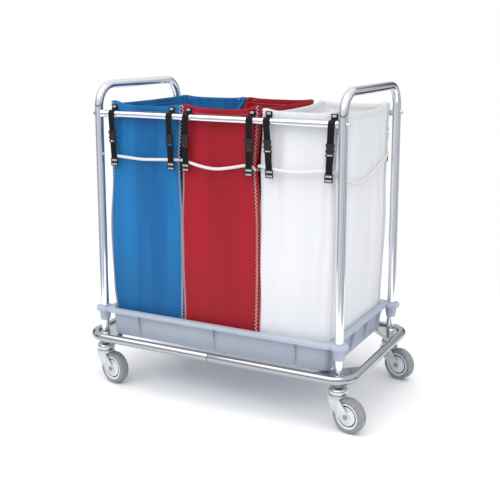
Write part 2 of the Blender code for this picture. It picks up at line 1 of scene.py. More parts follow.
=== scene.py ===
"""Laundry sorter on wheels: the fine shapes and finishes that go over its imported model.

The long side runs along X, the front is at -Y, Z is up and the floor is at zero. Sizes are in metres.
Each piece is made in place, so its object stays at the origin.
"""
import math

import bmesh
import bpy
import numpy as np
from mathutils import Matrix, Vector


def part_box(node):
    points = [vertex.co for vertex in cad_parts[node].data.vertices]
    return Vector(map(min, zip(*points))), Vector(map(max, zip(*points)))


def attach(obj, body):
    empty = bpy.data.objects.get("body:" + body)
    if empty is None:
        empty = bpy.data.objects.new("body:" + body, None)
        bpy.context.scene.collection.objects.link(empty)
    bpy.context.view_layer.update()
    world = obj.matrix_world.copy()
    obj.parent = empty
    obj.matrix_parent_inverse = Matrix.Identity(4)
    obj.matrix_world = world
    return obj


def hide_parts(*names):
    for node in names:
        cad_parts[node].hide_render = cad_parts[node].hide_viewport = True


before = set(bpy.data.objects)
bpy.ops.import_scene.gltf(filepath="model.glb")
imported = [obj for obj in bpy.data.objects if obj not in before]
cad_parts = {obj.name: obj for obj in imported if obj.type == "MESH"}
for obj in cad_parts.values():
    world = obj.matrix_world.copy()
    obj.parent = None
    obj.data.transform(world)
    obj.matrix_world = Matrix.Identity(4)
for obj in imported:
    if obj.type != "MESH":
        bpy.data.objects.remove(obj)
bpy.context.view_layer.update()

TAU = 2 * math.pi


def middle(node, axis):
    """The middle of a node's box along an axis."""
    low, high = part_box(node)
    return (low[axis] + high[axis]) / 2


# The trolley's middle lies a little off the origin, because the wheels trail to one side
CENTRE_X = middle("base_loop", 0)

POST_X = 0.400
POST_Y = 0.225
RAIL_Z = 0.860
HANDLE_Z = 0.945
BASE_Z = 0.153
POST_R = 0.0127
RAIL_R = 0.010
BASE_R = 0.0135
PLATE_TOP = 0.1573
CORNERS = {"fl": (-1, -1), "fr": (1, -1), "rl": (-1, 1), "rr": (1, 1)}
WHEEL_TURN = {"fl": -12.0, "fr": -14.0, "rl": -13.0, "rr": -16.0}

# Each bag: middle at the mouth, middle at the foot
BAGS = {"blue": (-0.243, -0.246), "red": (0.010, 0.007), "white": (0.262, 0.247)}
BAG_TOP = 0.8905
BAG_FOOT = 0.1610
HANG_LOW, HANG_HIGH = 0.1606, 0.890
# height, half width, half depth
BAG_SECTIONS = np.array((
    (0.1606, 0.106, 0.202), (0.172, 0.112, 0.209), (0.210, 0.115, 0.2115), (0.300, 0.1175, 0.2095),
    (0.560, 0.117, 0.2105), (0.650, 0.1122, 0.2115), (0.745, 0.1122, 0.2115), (0.800, 0.115, 0.2115),
    (0.892, 0.117, 0.2115),
))

# Straps: offset from the bag's middle at the mouth, and lean to +X for each metre down
FRONT_STRAPS = {
    "blue": ((-0.105, 0.06), (0.100, 0.045)),
    "red": ((-0.096, 0.0), (0.112, 0.0)),
    "white": ((-0.086, 0.07), (0.108, -0.035)),
}
REAR_STRAPS = ((-0.098, 0.0), (0.098, 0.0))
WEB_PLANE = 0.0114

# Draw cords: the loop seen from above from the bag's middle, and the heights along it
CORD_LEVEL = 0.733
CORD_DIAMETER = 0.009
CORD_PLAN = (
    (0.0995, 0.2298), (0.1115, 0.2255), (0.1178, 0.2100), (0.1178, 0.1200), (0.1178, 0.0000),
    (0.1178, -0.1200), (0.1178, -0.2080), (0.1110, -0.2240), (0.0970, -0.2298), (0.0450, -0.2298),
    (0.0000, -0.2298), (-0.0450, -0.2298), (-0.0970, -0.2298), (-0.1110, -0.2240),
    (-0.1178, -0.2080), (-0.1178, -0.1200), (-0.1178, 0.0000), (-0.1178, 0.1200),
    (-0.1178, 0.2080), (-0.1110, 0.2240), (-0.0970, 0.2298), (-0.0450, 0.2298),
    (0.0000, 0.2298), (0.0450, 0.2298), (0.0965, 0.2298),
)
CORD_HEIGHTS = {
    "blue": (
        0.733, 0.733, 0.731, 0.723, 0.719, 0.723, 0.731, 0.733, 0.733, 0.730, 0.728, 0.730, 0.733,
        0.733, 0.731, 0.722, 0.718, 0.722, 0.731, 0.733, 0.733, 0.727, 0.724, 0.727, 0.733,
    ),
    "red": (
        0.733, 0.733, 0.731, 0.722, 0.716, 0.712, 0.719, 0.728, 0.733, 0.722, 0.716, 0.720, 0.732,
        0.733, 0.731, 0.723, 0.719, 0.723, 0.731, 0.733, 0.733, 0.725, 0.721, 0.725, 0.733,
    ),
    "white": (
        0.733, 0.732, 0.726, 0.696, 0.675, 0.688, 0.724, 0.731, 0.733, 0.726, 0.722, 0.725, 0.733,
        0.733, 0.731, 0.723, 0.719, 0.723, 0.731, 0.733, 0.733, 0.727, 0.723, 0.727, 0.733,
    ),
}

# Two neighbouring yarns of the woven cloths, in metres
YARN = 0.0011


# ---------------------------------------------------------------- camera, floor and light

def place_camera():
    """A long lens, a little above the handles, looking down at the front right corner."""
    lens = bpy.data.cameras.new("studio_camera")
    lens.lens = 64.0
    lens.sensor_width = 36.0
    lens.shift_y = -0.10
    lens.clip_end = 60.0
    camera = bpy.data.objects.new("studio_camera", lens)
    camera.location = (1.249, -2.435, 1.098)
    camera.rotation_euler = (math.radians(79.43), 0.0, math.radians(27.38))
    bpy.context.scene.collection.objects.link(camera)
    bpy.context.scene.camera = camera


def softbox(name, place, target, size, power):
    """A flat rectangular lamp at a place, turned to face a target."""
    lamp = bpy.data.lights.new(name, "AREA")
    lamp.shape = "RECTANGLE"
    lamp.size, lamp.size_y = size
    lamp.energy = power
    item = bpy.data.objects.new(name, lamp)
    item.visible_glossy = False
    bpy.context.scene.collection.objects.link(item)
    away = np.array(place, float) - np.array(target, float)
    item.location = place
    item.rotation_euler = (
        math.atan2(math.hypot(away[0], away[1]), away[2]), 0.0, math.atan2(away[0], -away[1])
    )


# ---------------------------------------------------------------- shader maths

class Signal:
    """One output of a node. Arithmetic on it adds Math nodes to the same graph."""

    def __init__(self, graph, socket):
        self.graph, self.socket = graph, socket

    def maths(self, operation, *values):
        return self.graph.node("ShaderNodeMath", {"operation": operation}, dict(enumerate(values)))

    def __add__(self, other):
        return self.maths("ADD", self, other)

    def __sub__(self, other):
        return self.maths("SUBTRACT", self, other)

    def __rsub__(self, other):
        return self.maths("SUBTRACT", other, self)

    def __mul__(self, other):
        return self.maths("MULTIPLY", self, other)

    __radd__, __rmul__ = __add__, __mul__

    def wave(self):
        return self.maths("SINE", self)

    def size(self):
        return self.maths("ABSOLUTE", self)

    def limited(self):
        return self.graph.node("ShaderNodeClamp", {}, {0: self})

    def ramp(self, low, high):
        """Nought at low, one at high, and smooth between them."""
        return self.graph.node(
            "ShaderNodeMapRange", {"interpolation_type": "SMOOTHSTEP"}, {0: self, 1: low, 2: high}
        )


class Graph:
    """The nodes of a material or of the world."""

    def __init__(self, tree):
        self.tree = tree

    def node(self, kind, settings=None, inputs=None, out=0):
        """A node with its settings made first, then its sockets given values or links."""
        made = self.tree.nodes.new(kind)
        for name, value in (settings or {}).items():
            setattr(made, name, value)
        for socket, value in (inputs or {}).items():
            if isinstance(value, Signal):
                self.tree.links.new(value.socket, made.inputs[socket])
            else:
                made.inputs[socket].default_value = value
        return Signal(self, made.outputs[out])

    def place(self, kind="Object"):
        return self.node("ShaderNodeTexCoord", out=kind)

    def stretched(self, factors, kind="Object"):
        """Coordinates multiplied axis by axis."""
        return self.node(
            "ShaderNodeVectorMath", {"operation": "MULTIPLY"}, {0: self.place(kind), 1: factors}
        )

    def parts(self, vector):
        return [self.node("ShaderNodeSeparateXYZ", {}, {0: vector}, axis) for axis in "XYZ"]

    def mottle(self, factors, detail=2.0, kind="Object", seed=0.0):
        """Soft noise from nought to one, with so many cells to a metre along each axis."""
        return self.node(
            "ShaderNodeTexNoise", {"noise_dimensions": "4D"},
            {"Vector": self.stretched(factors, kind), "W": seed, "Scale": 1.0, "Detail": detail,
             "Roughness": 0.55},
        )

    def blend(self, share, first, second):
        """A colour between two, by a share."""
        def full(colour):
            return colour if isinstance(colour, Signal) else (*colour, 1.0)
        return self.node(
            "ShaderNodeMix", {"data_type": "RGBA"}, {0: share, 6: full(first), 7: full(second)}, 2
        )


class Finish(Graph):
    """A material: a Principled shader with fixed values, and what varies over the surface."""

    def __init__(self, name, colour, roughness, **fixed):
        self.material = bpy.data.materials.new(name)
        self.material.use_nodes = True
        self.material.diffuse_color = (*colour, 1.0)
        super().__init__(self.material.node_tree)
        self.shader = self.tree.nodes["Principled BSDF"]
        self.shader.inputs["Base Color"].default_value = (*colour, 1.0)
        self.shader.inputs["Roughness"].default_value = roughness
        for socket, value in fixed.items():
            self.shader.inputs[socket.replace("_", " ")].default_value = value

    def feed(self, socket, signal):
        self.tree.links.new(signal.socket, self.shader.inputs[socket])
        return self

    def relief(self, height, strength, distance):
        """Small surface relief, with its full height in metres."""
        return self.feed("Normal", self.node(
            "ShaderNodeBump", {}, {"Strength": strength, "Distance": distance, "Height": height}
        ))


def shade(colour, factor):
    """A colour darkened by a factor."""
    return tuple(min(part * factor, 1.0) for part in colour)


def chrome_finish(name, colour, roughness):
    """Plated metal: near mirror bright, with faint smears and a little haze from polishing."""
    made = Finish(name, colour, roughness, Metallic=1.0)
    smear = made.mottle((9.0, 9.0, 3.0), 3.0)
    haze = made.mottle((160.0, 160.0, 40.0), 1.0)
    made.feed("Roughness", smear.ramp(0.35, 0.75) * 0.055 + haze * 0.03 + roughness)
    made.feed("Base Color", made.blend(smear.ramp(0.3, 0.8), colour, shade(colour, 0.93)))
    return made.material


def zinc_finish(name, colour, roughness):
    """Bright zinc plate: satin, with a fine grain and paler, rougher patches."""
    made = Finish(name, colour, roughness, Metallic=1.0)
    patch = made.mottle((45.0, 45.0, 45.0), 3.0).ramp(0.35, 0.7)
    grain = made.mottle((900.0, 900.0, 300.0), 1.0)
    made.feed("Base Color", made.blend(patch, colour, shade(colour, 0.86)))
    made.feed("Roughness", patch * 0.10 + grain * 0.06 + roughness)
    return made.relief(grain, 0.25, 0.0001).material


def moulded_finish(name, colour, roughness, grain_size, tone=0.90):
    """Moulded plastic: a fine pebbled skin, faint flow marks, and a duller bloom in patches."""
    made = Finish(name, colour, roughness)
    pebble = made.mottle((1 / grain_size,) * 3)
    flow = made.mottle((5.0, 5.0, 18.0), 3.0).ramp(0.3, 0.7)
    made.feed("Base Color", made.blend(flow, colour, shade(colour, tone)))
    made.feed("Roughness", flow * 0.08 + pebble * 0.06 + roughness)
    return made.relief(pebble, 0.30, 0.00015).material


def tyre_finish():
    """Solid grey rubber: matt, with paler patches of dust and a fine grain."""
    made = Finish("tyre_rubber", (0.235, 0.238, 0.250), 0.62)
    dust = made.mottle((70.0, 70.0, 70.0), 3.0).ramp(0.35, 0.75)
    grain = made.mottle((700.0,) * 3, 1.0)
    made.feed("Base Color", made.blend(dust, (0.225, 0.228, 0.240), (0.300, 0.300, 0.305)))
    made.feed("Roughness", dust * 0.15 + 0.55)
    return made.relief(grain, 0.3, 0.00015).material


def cloth_finish(name, colour, dark, light, seed):
    """Coated nylon: a plain weave under a thin coat, with long upright bands of painted light that
    stand for the folds, and painted shade that darkens it low down, towards the foot. The light colour
    is the painted light of the bands, and the dark colour is the painted shade."""
    made = Finish(name, colour, 0.55, Specular_IOR_Level=0.18)
    across, up, _ = made.parts(made.place("UV"))
    warp, weft = (across * (TAU / YARN)).wave(), (up * (TAU / YARN)).wave()
    weave = warp * weft * 0.5 + 0.5
    # painted light: soft upright bands that lighten the cloth where its folds would catch the lamps;
    # the same bands also vary the roughness
    fold_light_bands = made.mottle((11.0, 0.7, 1.0), 2.0, "UV", seed)
    slub = made.mottle((520.0, 40.0, 1.0), 2.0, "UV")
    # painted shade: the cloth is darker towards the foot, broken up by the real slub tone of the yarn
    low = 1.0 - up.ramp(0.0, 0.42)
    tone = made.blend(fold_light_bands.ramp(0.38, 0.62), light, colour)
    tone = made.blend((low * 0.75 + (slub - 0.5) * 0.25).limited(), tone, dark)
    made.feed("Base Color", tone)
    made.feed("Roughness", weave * 0.10 + fold_light_bands * 0.12 + 0.47)
    crinkle = made.mottle((55.0, 55.0, 30.0), 4.0)
    return made.relief(weave * 0.12 + crinkle * 0.88, 0.35, 0.0012).material


def thread_finish(name, colour):
    """Sewing thread: twisted plies that run round it."""
    made = Finish(name, colour, 0.7, Sheen_Weight=0.2)
    along, round_it, _ = made.parts(made.place("UV"))
    twist = (along * 2600.0 + round_it * TAU).wave() * 0.5 + 0.5
    made.feed("Base Color", made.blend(twist, shade(colour, 0.80), colour))
    return made.material


def cord_finish():
    """Braided cotton: two sets of strands that cross over each other round the cord."""
    made = Finish("cord_cotton", (0.86, 0.85, 0.82), 0.85, Sheen_Weight=0.3)
    along, round_it, _ = made.parts(made.place("UV"))
    climb, turn = along * (TAU / 0.0075), round_it * (4 * TAU)
    left, right = (climb + turn).wave(), (climb - turn).wave()
    braid = (left * right) * 0.5 + 0.5
    fuzz = made.mottle((900.0,) * 3, 2.0)
    soil = made.mottle((14.0,) * 3, 2.0).ramp(0.4, 0.8)
    clean = made.blend(braid.ramp(0.05, 0.6), (0.62, 0.61, 0.58), (0.90, 0.89, 0.87))
    made.feed("Base Color", made.blend(soil * 0.35, clean, (0.70, 0.67, 0.60)))
    made.feed("Roughness", fuzz * 0.2 + 0.72)
    return made.relief(braid * 0.8 + fuzz * 0.2, 0.8, 0.0009).material


def webbing_finish():
    """Black nylon webbing: ribs along it, crossed by the fine weft, a little worn at the edges."""
    made = Finish("black_webbing", (0.012, 0.012, 0.014), 0.62, Specular_IOR_Level=0.12)
    across, along, _ = made.parts(made.place("UV"))
    ribs = (across * (TAU / 0.0022)).wave() * 0.5 + 0.5
    weft = (along * (TAU / YARN)).wave() * 0.5 + 0.5
    edge = (across.size() - 0.0086).ramp(0.0, 0.0014)
    fluff = made.mottle((800.0,) * 3, 2.0)
    wear = (edge * 0.6 + fluff * 0.25).limited()
    made.feed("Base Color", made.blend(wear, (0.009, 0.009, 0.011), (0.032, 0.032, 0.036)))
    made.feed("Roughness", ribs * 0.12 + 0.55)
    return made.relief(ribs * 0.7 + weft * 0.3, 0.7, 0.0005).material


FINISH = {
    "tube": chrome_finish("chrome_tube", (0.85, 0.86, 0.885), 0.05),
    # painted shade: the base loop is the same chrome as the tubes, darkened to stand for the shade it
    # sits in low down
    "loop": chrome_finish("chrome_base_painted_shade", (0.46, 0.47, 0.485), 0.06),
    "plate": chrome_finish("chrome_plate", (0.62, 0.62, 0.63), 0.09),
    "cup": chrome_finish("chrome_cup", (0.70, 0.72, 0.70), 0.12),
    "zinc": zinc_finish("zinc_plate", (0.70, 0.73, 0.74), 0.30),
    "steel": zinc_finish("steel", (0.34, 0.38, 0.42), 0.28),
    "nickel": zinc_finish("nickel", (0.78, 0.78, 0.78), 0.25),
    "hub": moulded_finish("hub_plastic", (0.72, 0.79, 0.86), 0.34, 0.0012, 0.95),
    "ring": moulded_finish("wheel_ring", (0.74, 0.76, 0.77), 0.32, 0.0012, 0.95),
    "groove": moulded_finish("wheel_groove", (0.045, 0.05, 0.055), 0.45, 0.0012),
    "rubber": tyre_finish(),
    "tray": moulded_finish("tray_plastic", (0.440, 0.490, 0.580), 0.42, 0.0016, 0.94),
    # For each cloth: its own colour, the painted shade low down, the painted light of the fold bands,
    # and the seed of the bands
    "blue": cloth_finish(
        "blue_cloth", (0.014, 0.132, 0.355), (0.013, 0.105, 0.275), (0.020, 0.195, 0.480), 1.0
    ),
    "red": cloth_finish(
        "red_cloth", (0.345, 0.013, 0.023), (0.300, 0.014, 0.021), (0.405, 0.014, 0.028), 1.0
    ),
    "white": cloth_finish(
        "white_cloth", (0.82, 0.83, 0.845), (0.72, 0.73, 0.765), (0.85, 0.86, 0.87), 2.0
    ),
    "thread": thread_finish("white_thread", (0.82, 0.82, 0.82)),
    "blue_thread": thread_finish("blue_thread", (0.16, 0.36, 0.66)),
    "red_thread": thread_finish("red_thread", (0.78, 0.22, 0.26)),
    "cord": cord_finish(),
    "webbing": webbing_finish(),
    "black": moulded_finish("black_plastic", (0.012, 0.012, 0.014), 0.33, 0.0010),
}


# ---------------------------------------------------------------- shape tools

def unit(vectors):
    """Vectors divided by their lengths."""
    return vectors / np.maximum(np.linalg.norm(vectors, axis=-1, keepdims=True), 1e-12)


def eased(values, low, high):
    """Nought below low, one above high, and a smooth cubic between them."""
    share = np.clip((values - low) / (high - low), 0.0, 1.0)
    return share * share * (3 - 2 * share)


def smoothed(values, kernel):
    """A row of values with all but its ends averaged by a kernel."""
    edge = len(kernel) // 2
    made = values.copy()
    made[edge:-edge] = np.convolve(values, kernel, "valid")
    return made


def circle(radius, sides):
    """Points evenly round a circle, in two coordinates."""
    angle = np.arange(sides) * TAU / sides
    return np.stack((radius * np.cos(angle), radius * np.sin(angle)), -1)


def band(width, thickness):
    """A flat band's section: thickness first, width second, with its two edges rounded. The
    thickness falls with the sixteenth power of the share across."""
    share = np.linspace(-0.5, 0.5, 7)
    swell = thickness / 2 * np.sqrt(np.clip(1 - (2 * share * 0.94) ** 16, 0.0, 1.0))
    one = np.stack((swell, share * width), -1)
    return np.concatenate((one, -one))


def rim(half_x, half_y, corner, nx, ny, na):
    """A rounded rectangle, anticlockwise from the left end of its front side: on each side a
    straight run of even steps, then a quarter circle. The half sizes may be columns, one row of
    points for each."""
    half_x, half_y, corner = (
        np.atleast_1d(size).astype(float)[:, None] for size in (half_x, half_y, corner)
    )
    turn = np.arange(na) / na * TAU / 4
    xs, ys = [], []
    for side in range(4):
        angle = (side - 1) * TAU / 4
        out = np.round((math.cos(angle), math.sin(angle)))
        ahead = np.array((-out[1], out[0]))
        depth, length, count = (half_y, half_x, nx) if side % 2 == 0 else (half_x, half_y, ny)
        share = np.arange(count) / count * 2 - 1
        straight = (length - corner) * share
        xs.append(out[0] * depth + ahead[0] * straight)
        ys.append(out[1] * depth + ahead[1] * straight)
        for values, axis in ((xs, 0), (ys, 1)):
            values.append(
                out[axis] * (depth - corner + corner * np.cos(turn))
                + ahead[axis] * (length - corner + corner * np.sin(turn))
            )
    return np.stack((np.concatenate(xs, 1), np.concatenate(ys, 1)), -1)


def bent(corners, radius, steps, closed=False):
    """A path through corners. Each corner becomes an arc that is tangent to both runs."""
    corners = np.array(corners, float)
    count = len(corners)
    points = []
    for i, corner in enumerate(corners):
        if not closed and i in (0, count - 1):
            points.append(corner[None])
            continue
        back, ahead = unit(corners[i - 1] - corner), unit(corners[(i + 1) % count] - corner)
        half = math.acos(float(back @ ahead)) / 2
        centre = corner + unit(back + ahead) * radius / math.sin(half)
        first = unit(corner + back * radius / math.tan(half) - centre)
        second = unit(corner + ahead * radius / math.tan(half) - centre)
        share = np.linspace(0.0, 1.0, steps + 1)[:, None] * (math.pi - 2 * half)
        across = unit(second - first * float(first @ second))
        points.append(centre + radius * (first * np.cos(share) + across * np.sin(share)))
    return np.concatenate(points)


def lengths(path):
    """The distance along a path at each of its points."""
    return np.concatenate(((0.0,), np.cumsum(np.linalg.norm(np.diff(path, axis=0), axis=1))))


def smooth_route(points, count):
    """Points evenly spaced in length along a Catmull-Rom curve: on each span, the cubic whose
    slope at a point is half the step between its two neighbours."""
    points = np.array(points, float)
    ends = np.concatenate((points[:1] * 2 - points[1:2], points, points[-1:] * 2 - points[-2:-1]))
    a, b, c, d = (ends[i:len(ends) - 3 + i][:, None] for i in range(4))
    t = (np.arange(12) / 12)[None, :, None]
    fine = 0.5 * (
        2 * b + (c - a) * t + (2 * a - 5 * b + 4 * c - d) * t ** 2 + (3 * b - a - 3 * c + d) * t ** 3
    )
    fine = np.concatenate((fine.reshape(-1, 3), points[-1:]))
    run = lengths(fine)
    even = np.linspace(0.0, run[-1], count)
    return np.stack([np.interp(even, run, fine[:, axis]) for axis in range(3)], -1)


def carry(path, profile, up, closed=False, sizes=1.0):
    """A profile carried along a path. Its first coordinate goes along the side, which is the
    tangent crossed with up, and its second along the rise, which is the side crossed with the
    tangent. Sizes scale it at each point of the path."""
    if closed:
        tangent = unit(np.roll(path, -1, 0) - np.roll(path, 1, 0))
    else:
        tangent = unit(np.gradient(path, axis=0))
    side = unit(np.cross(tangent, np.array(up, float)))
    rise = np.cross(side, tangent)
    sizes = np.broadcast_to(np.atleast_1d(sizes), len(path))
    profile = np.asarray(profile)[None] * sizes[:, None, None]
    return path[:, None] + side[:, None] * profile[..., :1] + rise[:, None] * profile[..., 1:]


def turned(profile, sides, place=(0.0, 0.0, 0.0), axis=(0.0, 0.0, 1.0)):
    """A profile of radius and height turned about an axis through a place."""
    profile = np.array(profile, float)
    axis = unit(np.array(axis, float))
    first = unit(np.cross(axis, (0.0, 1.0, 0.0) if abs(axis[1]) < 0.9 else (1.0, 0.0, 0.0)))
    second = np.cross(axis, first)
    ring = circle(1.0, sides)
    around = ring[:, :1] * first + ring[:, 1:] * second
    return np.array(place, float) + profile[:, None, :1] * around + profile[:, None, 1:] * axis


def slab(outline, low, high, edge):
    """A flat shape in X and Z with thickness along Y and rounded edges: three rings of the
    outline at each face, drawn in towards its middle by the edge radius, by a third of it and
    not at all. Inwards is left of the way round, or right where the enclosed area is negative."""
    outline = np.array(outline, float)
    ahead = np.roll(outline, -1, 0)
    inward = unit(ahead - np.roll(outline, 1, 0))[:, ::-1] * (-1.0, 1.0)
    inward *= math.copysign(1.0, np.sum(outline[:, 0] * ahead[:, 1] - ahead[:, 0] * outline[:, 1]))
    rings = []
    for y, inset in (
        (low, edge), (low + edge * 0.3, edge * 0.3), (low + edge, 0.0),
        (high - edge, 0.0), (high - edge * 0.3, edge * 0.3), (high, edge),
    ):
        flat = outline + inward * inset
        rings.append(np.stack((flat[:, 0], np.full(len(flat), y), flat[:, 1]), -1))
    return np.stack(rings)


def tile(low_x, high_x, low_z, high_z, corner=0.0012):
    """The outline of a small plate with rounded corners."""
    flat = rim((high_x - low_x) / 2, (high_z - low_z) / 2, corner, 1, 1, 3)[0]
    return flat + ((low_x + high_x) / 2, (low_z + high_z) / 2)


class Skin:
    """Gathers grids of points into one mesh. The last ring of a grid may join its first, and
    otherwise its two end rings may be filled."""

    def __init__(self):
        self.points, self.faces, self.marks, self.looks = [], [], [], []
        self.count = 0

    def add(self, grid, look=0, loop=False, filled=True, marks=None):
        """A grid whose rows are closed rings. A look picks the finish, for all of it or row by
        row, and the marks are its UV coordinates, with one row and one column more."""
        rows, cols = grid.shape[:2]
        row, col = np.meshgrid(np.arange(rows if loop else rows - 1), np.arange(cols), indexing="ij")
        corners = ((row, col), (row, col + 1), (row + 1, col + 1), (row + 1, col))
        faces = np.stack([(i % rows) * cols + j % cols for i, j in corners], -1).reshape(-1, 4)
        if marks is None:
            marks = np.zeros((rows + 1, cols + 1, 2))
        self.faces += (faces + self.count).tolist()
        self.marks.append(np.stack([marks[i, j] for i, j in corners], -2).reshape(-1, 2))
        looks = np.broadcast_to(look, (rows, cols))
        self.looks.append(looks[row, col].ravel())
        if filled and not loop:
            ends = np.arange(cols) + self.count
            self.faces += [ends[::-1].tolist(), (ends + (rows - 1) * cols).tolist()]
            self.marks.append(np.concatenate((marks[0, :cols][::-1], marks[rows - 1, :cols])))
            self.looks.append((looks[0, 0], looks[rows - 1, 0]))
        self.points.append(grid.reshape(-1, 3))
        self.count += rows * cols
        return self

    def make(self, name, finishes, slot, body="root", replaces=(), sharp=38):
        """The mesh as a piece: doubles merged, faces turned outwards, smooth but for sharp edges."""
        mesh = bpy.data.meshes.new(name)
        mesh.from_pydata(np.concatenate(self.points).tolist(), [], self.faces)
        mesh.uv_layers.new(name="UVMap").data.foreach_set("uv", np.concatenate(self.marks).ravel())
        mesh.polygons.foreach_set("material_index", np.concatenate(self.looks).astype(np.int32))
        for finish in finishes:
            mesh.materials.append(FINISH[finish])
        shape = bmesh.new()
        shape.from_mesh(mesh)
        bmesh.ops.remove_doubles(shape, verts=shape.verts, dist=2e-6)
        bmesh.ops.recalc_face_normals(shape, faces=shape.faces)
        shape.to_mesh(mesh)
        shape.free()
        mesh.shade_smooth()
        mesh.set_sharp_from_angle(angle=math.radians(sharp))
        item = bpy.data.objects.new(name, mesh)
        bpy.context.scene.collection.objects.link(item)
        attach(item, body)
        if replaces:
            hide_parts(*replaces)
        return item


def tube_marks(path, cols, closed=False):
    """Distances along a path and shares round it, for a pattern that follows a tube."""
    run = lengths(np.concatenate((path, path[:1])) if closed else path)
    if not closed:
        run = np.append(run, run[-1])
    return np.stack(np.meshgrid(run, np.linspace(0.0, 1.0, cols + 1), indexing="ij"), -1)


# ---------------------------------------------------------------- draw cords

def bag_middle(bag, z):
    """Where a bag's middle stands along X at a height, straight from its foot to its mouth."""
    top, foot = BAGS[bag]
    return CENTRE_X + foot + (top - foot) * (z - HANG_LOW) / (HANG_HIGH - HANG_LOW)


def make_cord(bag):
    """A braided cord once round its bag, from behind the rear right strap back to it."""
    sides = 14
    plan = np.array(CORD_PLAN)
    plan[:, 0] += bag_middle(bag, CORD_LEVEL) + side_shift(bag, plan[:, 0], CORD_LEVEL)
    route = smooth_route(np.column_stack((plan, CORD_HEIGHTS[bag])), 260)
    section = circle(CORD_DIAMETER / 2, sides)
    skin = Skin().add(carry(route, section, (0, 0, 1)), marks=tube_marks(route, sides))
    cord = skin.make(f"cord_{bag}", ["cord"], "cord_cotton", replaces=[f"drawcord_{bag}"])


# ---------------------------------------------------------------- tubes

def make_base_tube():
    """The base loop: a round tube on a rounded rectangle, with the butt joint of its two ends
    as a fine groove in the middle of the front run."""
    half_x, half_y = POST_X + 0.043, POST_Y + 0.034
    corners = [(CENTRE_X + x, y, BASE_Z) for x, y in
               ((half_x, -half_y), (half_x, half_y), (-half_x, half_y), (-half_x, -half_y))]
    arcs = bent(corners, 0.060, 16, closed=True)
    gap = CENTRE_X + np.array((-0.0020, -0.0012, -0.0009, 0.0009, 0.0012, 0.0020))
    joint = np.column_stack((gap, np.full(6, -half_y), np.full(6, BASE_Z)))
    path = np.concatenate((arcs, joint))
    sizes = np.ones(len(path))
    sizes[-5:-1] = (0.985, 0.93, 0.93, 0.985)
    tube = carry(path, circle(BASE_R, 36), (0, 0, 1), closed=True, sizes=sizes)
    look = np.zeros((len(path), 1), int)
    look[-5:-2] = 1
    Skin().add(tube, look=look, loop=True).make(
        "base_tube", ["loop", "groove"], "chrome_tube", replaces=["base_loop"]
    )


def make_end_tube(name, sign):
    """A post, a handle and a post from one tube, bent twice on a wide radius, with a weld bead
    turned round each foot."""
    x = CENTRE_X + sign * POST_X
    corners = [(x, y, z) for y, z in (
        (-POST_Y, PLATE_TOP), (-POST_Y, HANDLE_Z), (POST_Y, HANDLE_Z), (POST_Y, PLATE_TOP)
    )]
    path = bent(corners, 0.067, 20)
    skin = Skin().add(carry(path, circle(POST_R, 36), (1, 0, 0)))
    for y in (-POST_Y, POST_Y):
        bead = ((POST_R - 0.001, 0.0), (POST_R + 0.0030, 0.0), (POST_R + 0.0026, 0.0014),
                (POST_R + 0.0009, 0.0030), (POST_R - 0.001, 0.0042))
        skin.add(turned(bead, 36, (x, y, PLATE_TOP)), filled=False, loop=True)
    skin.make(f"end_tube_{name}", ["tube"], "chrome_tube", replaces=[f"end_frame_{name}"])


def make_rail_tube(row, sign):
    """A straight rail with a flared saddle where it meets each post."""
    y = sign * POST_Y
    end = POST_X - POST_R + 0.002
    path = np.array([(CENTRE_X + t, y, RAIL_Z) for t in np.linspace(-end, end, 9)])
    skin = Skin().add(carry(path, circle(RAIL_R, 32), (0, 0, 1)))
    for side in (-1, 1):
        flare = ((RAIL_R - 0.001, 0.016), (RAIL_R + 0.0011, 0.0155), (RAIL_R + 0.0014, 0.0145),
                 (RAIL_R + 0.0014, 0.004), (RAIL_R + 0.0022, 0.000), (RAIL_R - 0.001, 0.000))
        place = (CENTRE_X + side * (POST_X - POST_R + 0.0018), y, RAIL_Z)
        skin.add(turned(flare, 32, place, (-side, 0, 0)), filled=False, loop=True)
    skin.make(f"{row}_rail_tube", ["tube"], "chrome_tube", replaces=[f"{row}_rail"])


def make_rail_nuts():
    """The fixings of the rails: a washer and a dome nut, turned in one, on the outer side of
    each post."""
    skin = Skin()
    dome = ((0.0, 0.0095), (0.0022, 0.0092), (0.0041, 0.0079), (0.0050, 0.0058), (0.0052, 0.0040),
            (0.0062, 0.0036), (0.0064, 0.0014), (0.0086, 0.0013), (0.0088, 0.0), (0.0, 0.0))
    for sx, sy in CORNERS.values():
        place = (CENTRE_X + sx * (POST_X + POST_R - 0.0008), sy * POST_Y, RAIL_Z)
        skin.add(turned(dome, 24, place, (sx, 0, 0)), filled=False)
    skin.make("rail_nuts", ["nickel"], "steel")


# ---------------------------------------------------------------- tray

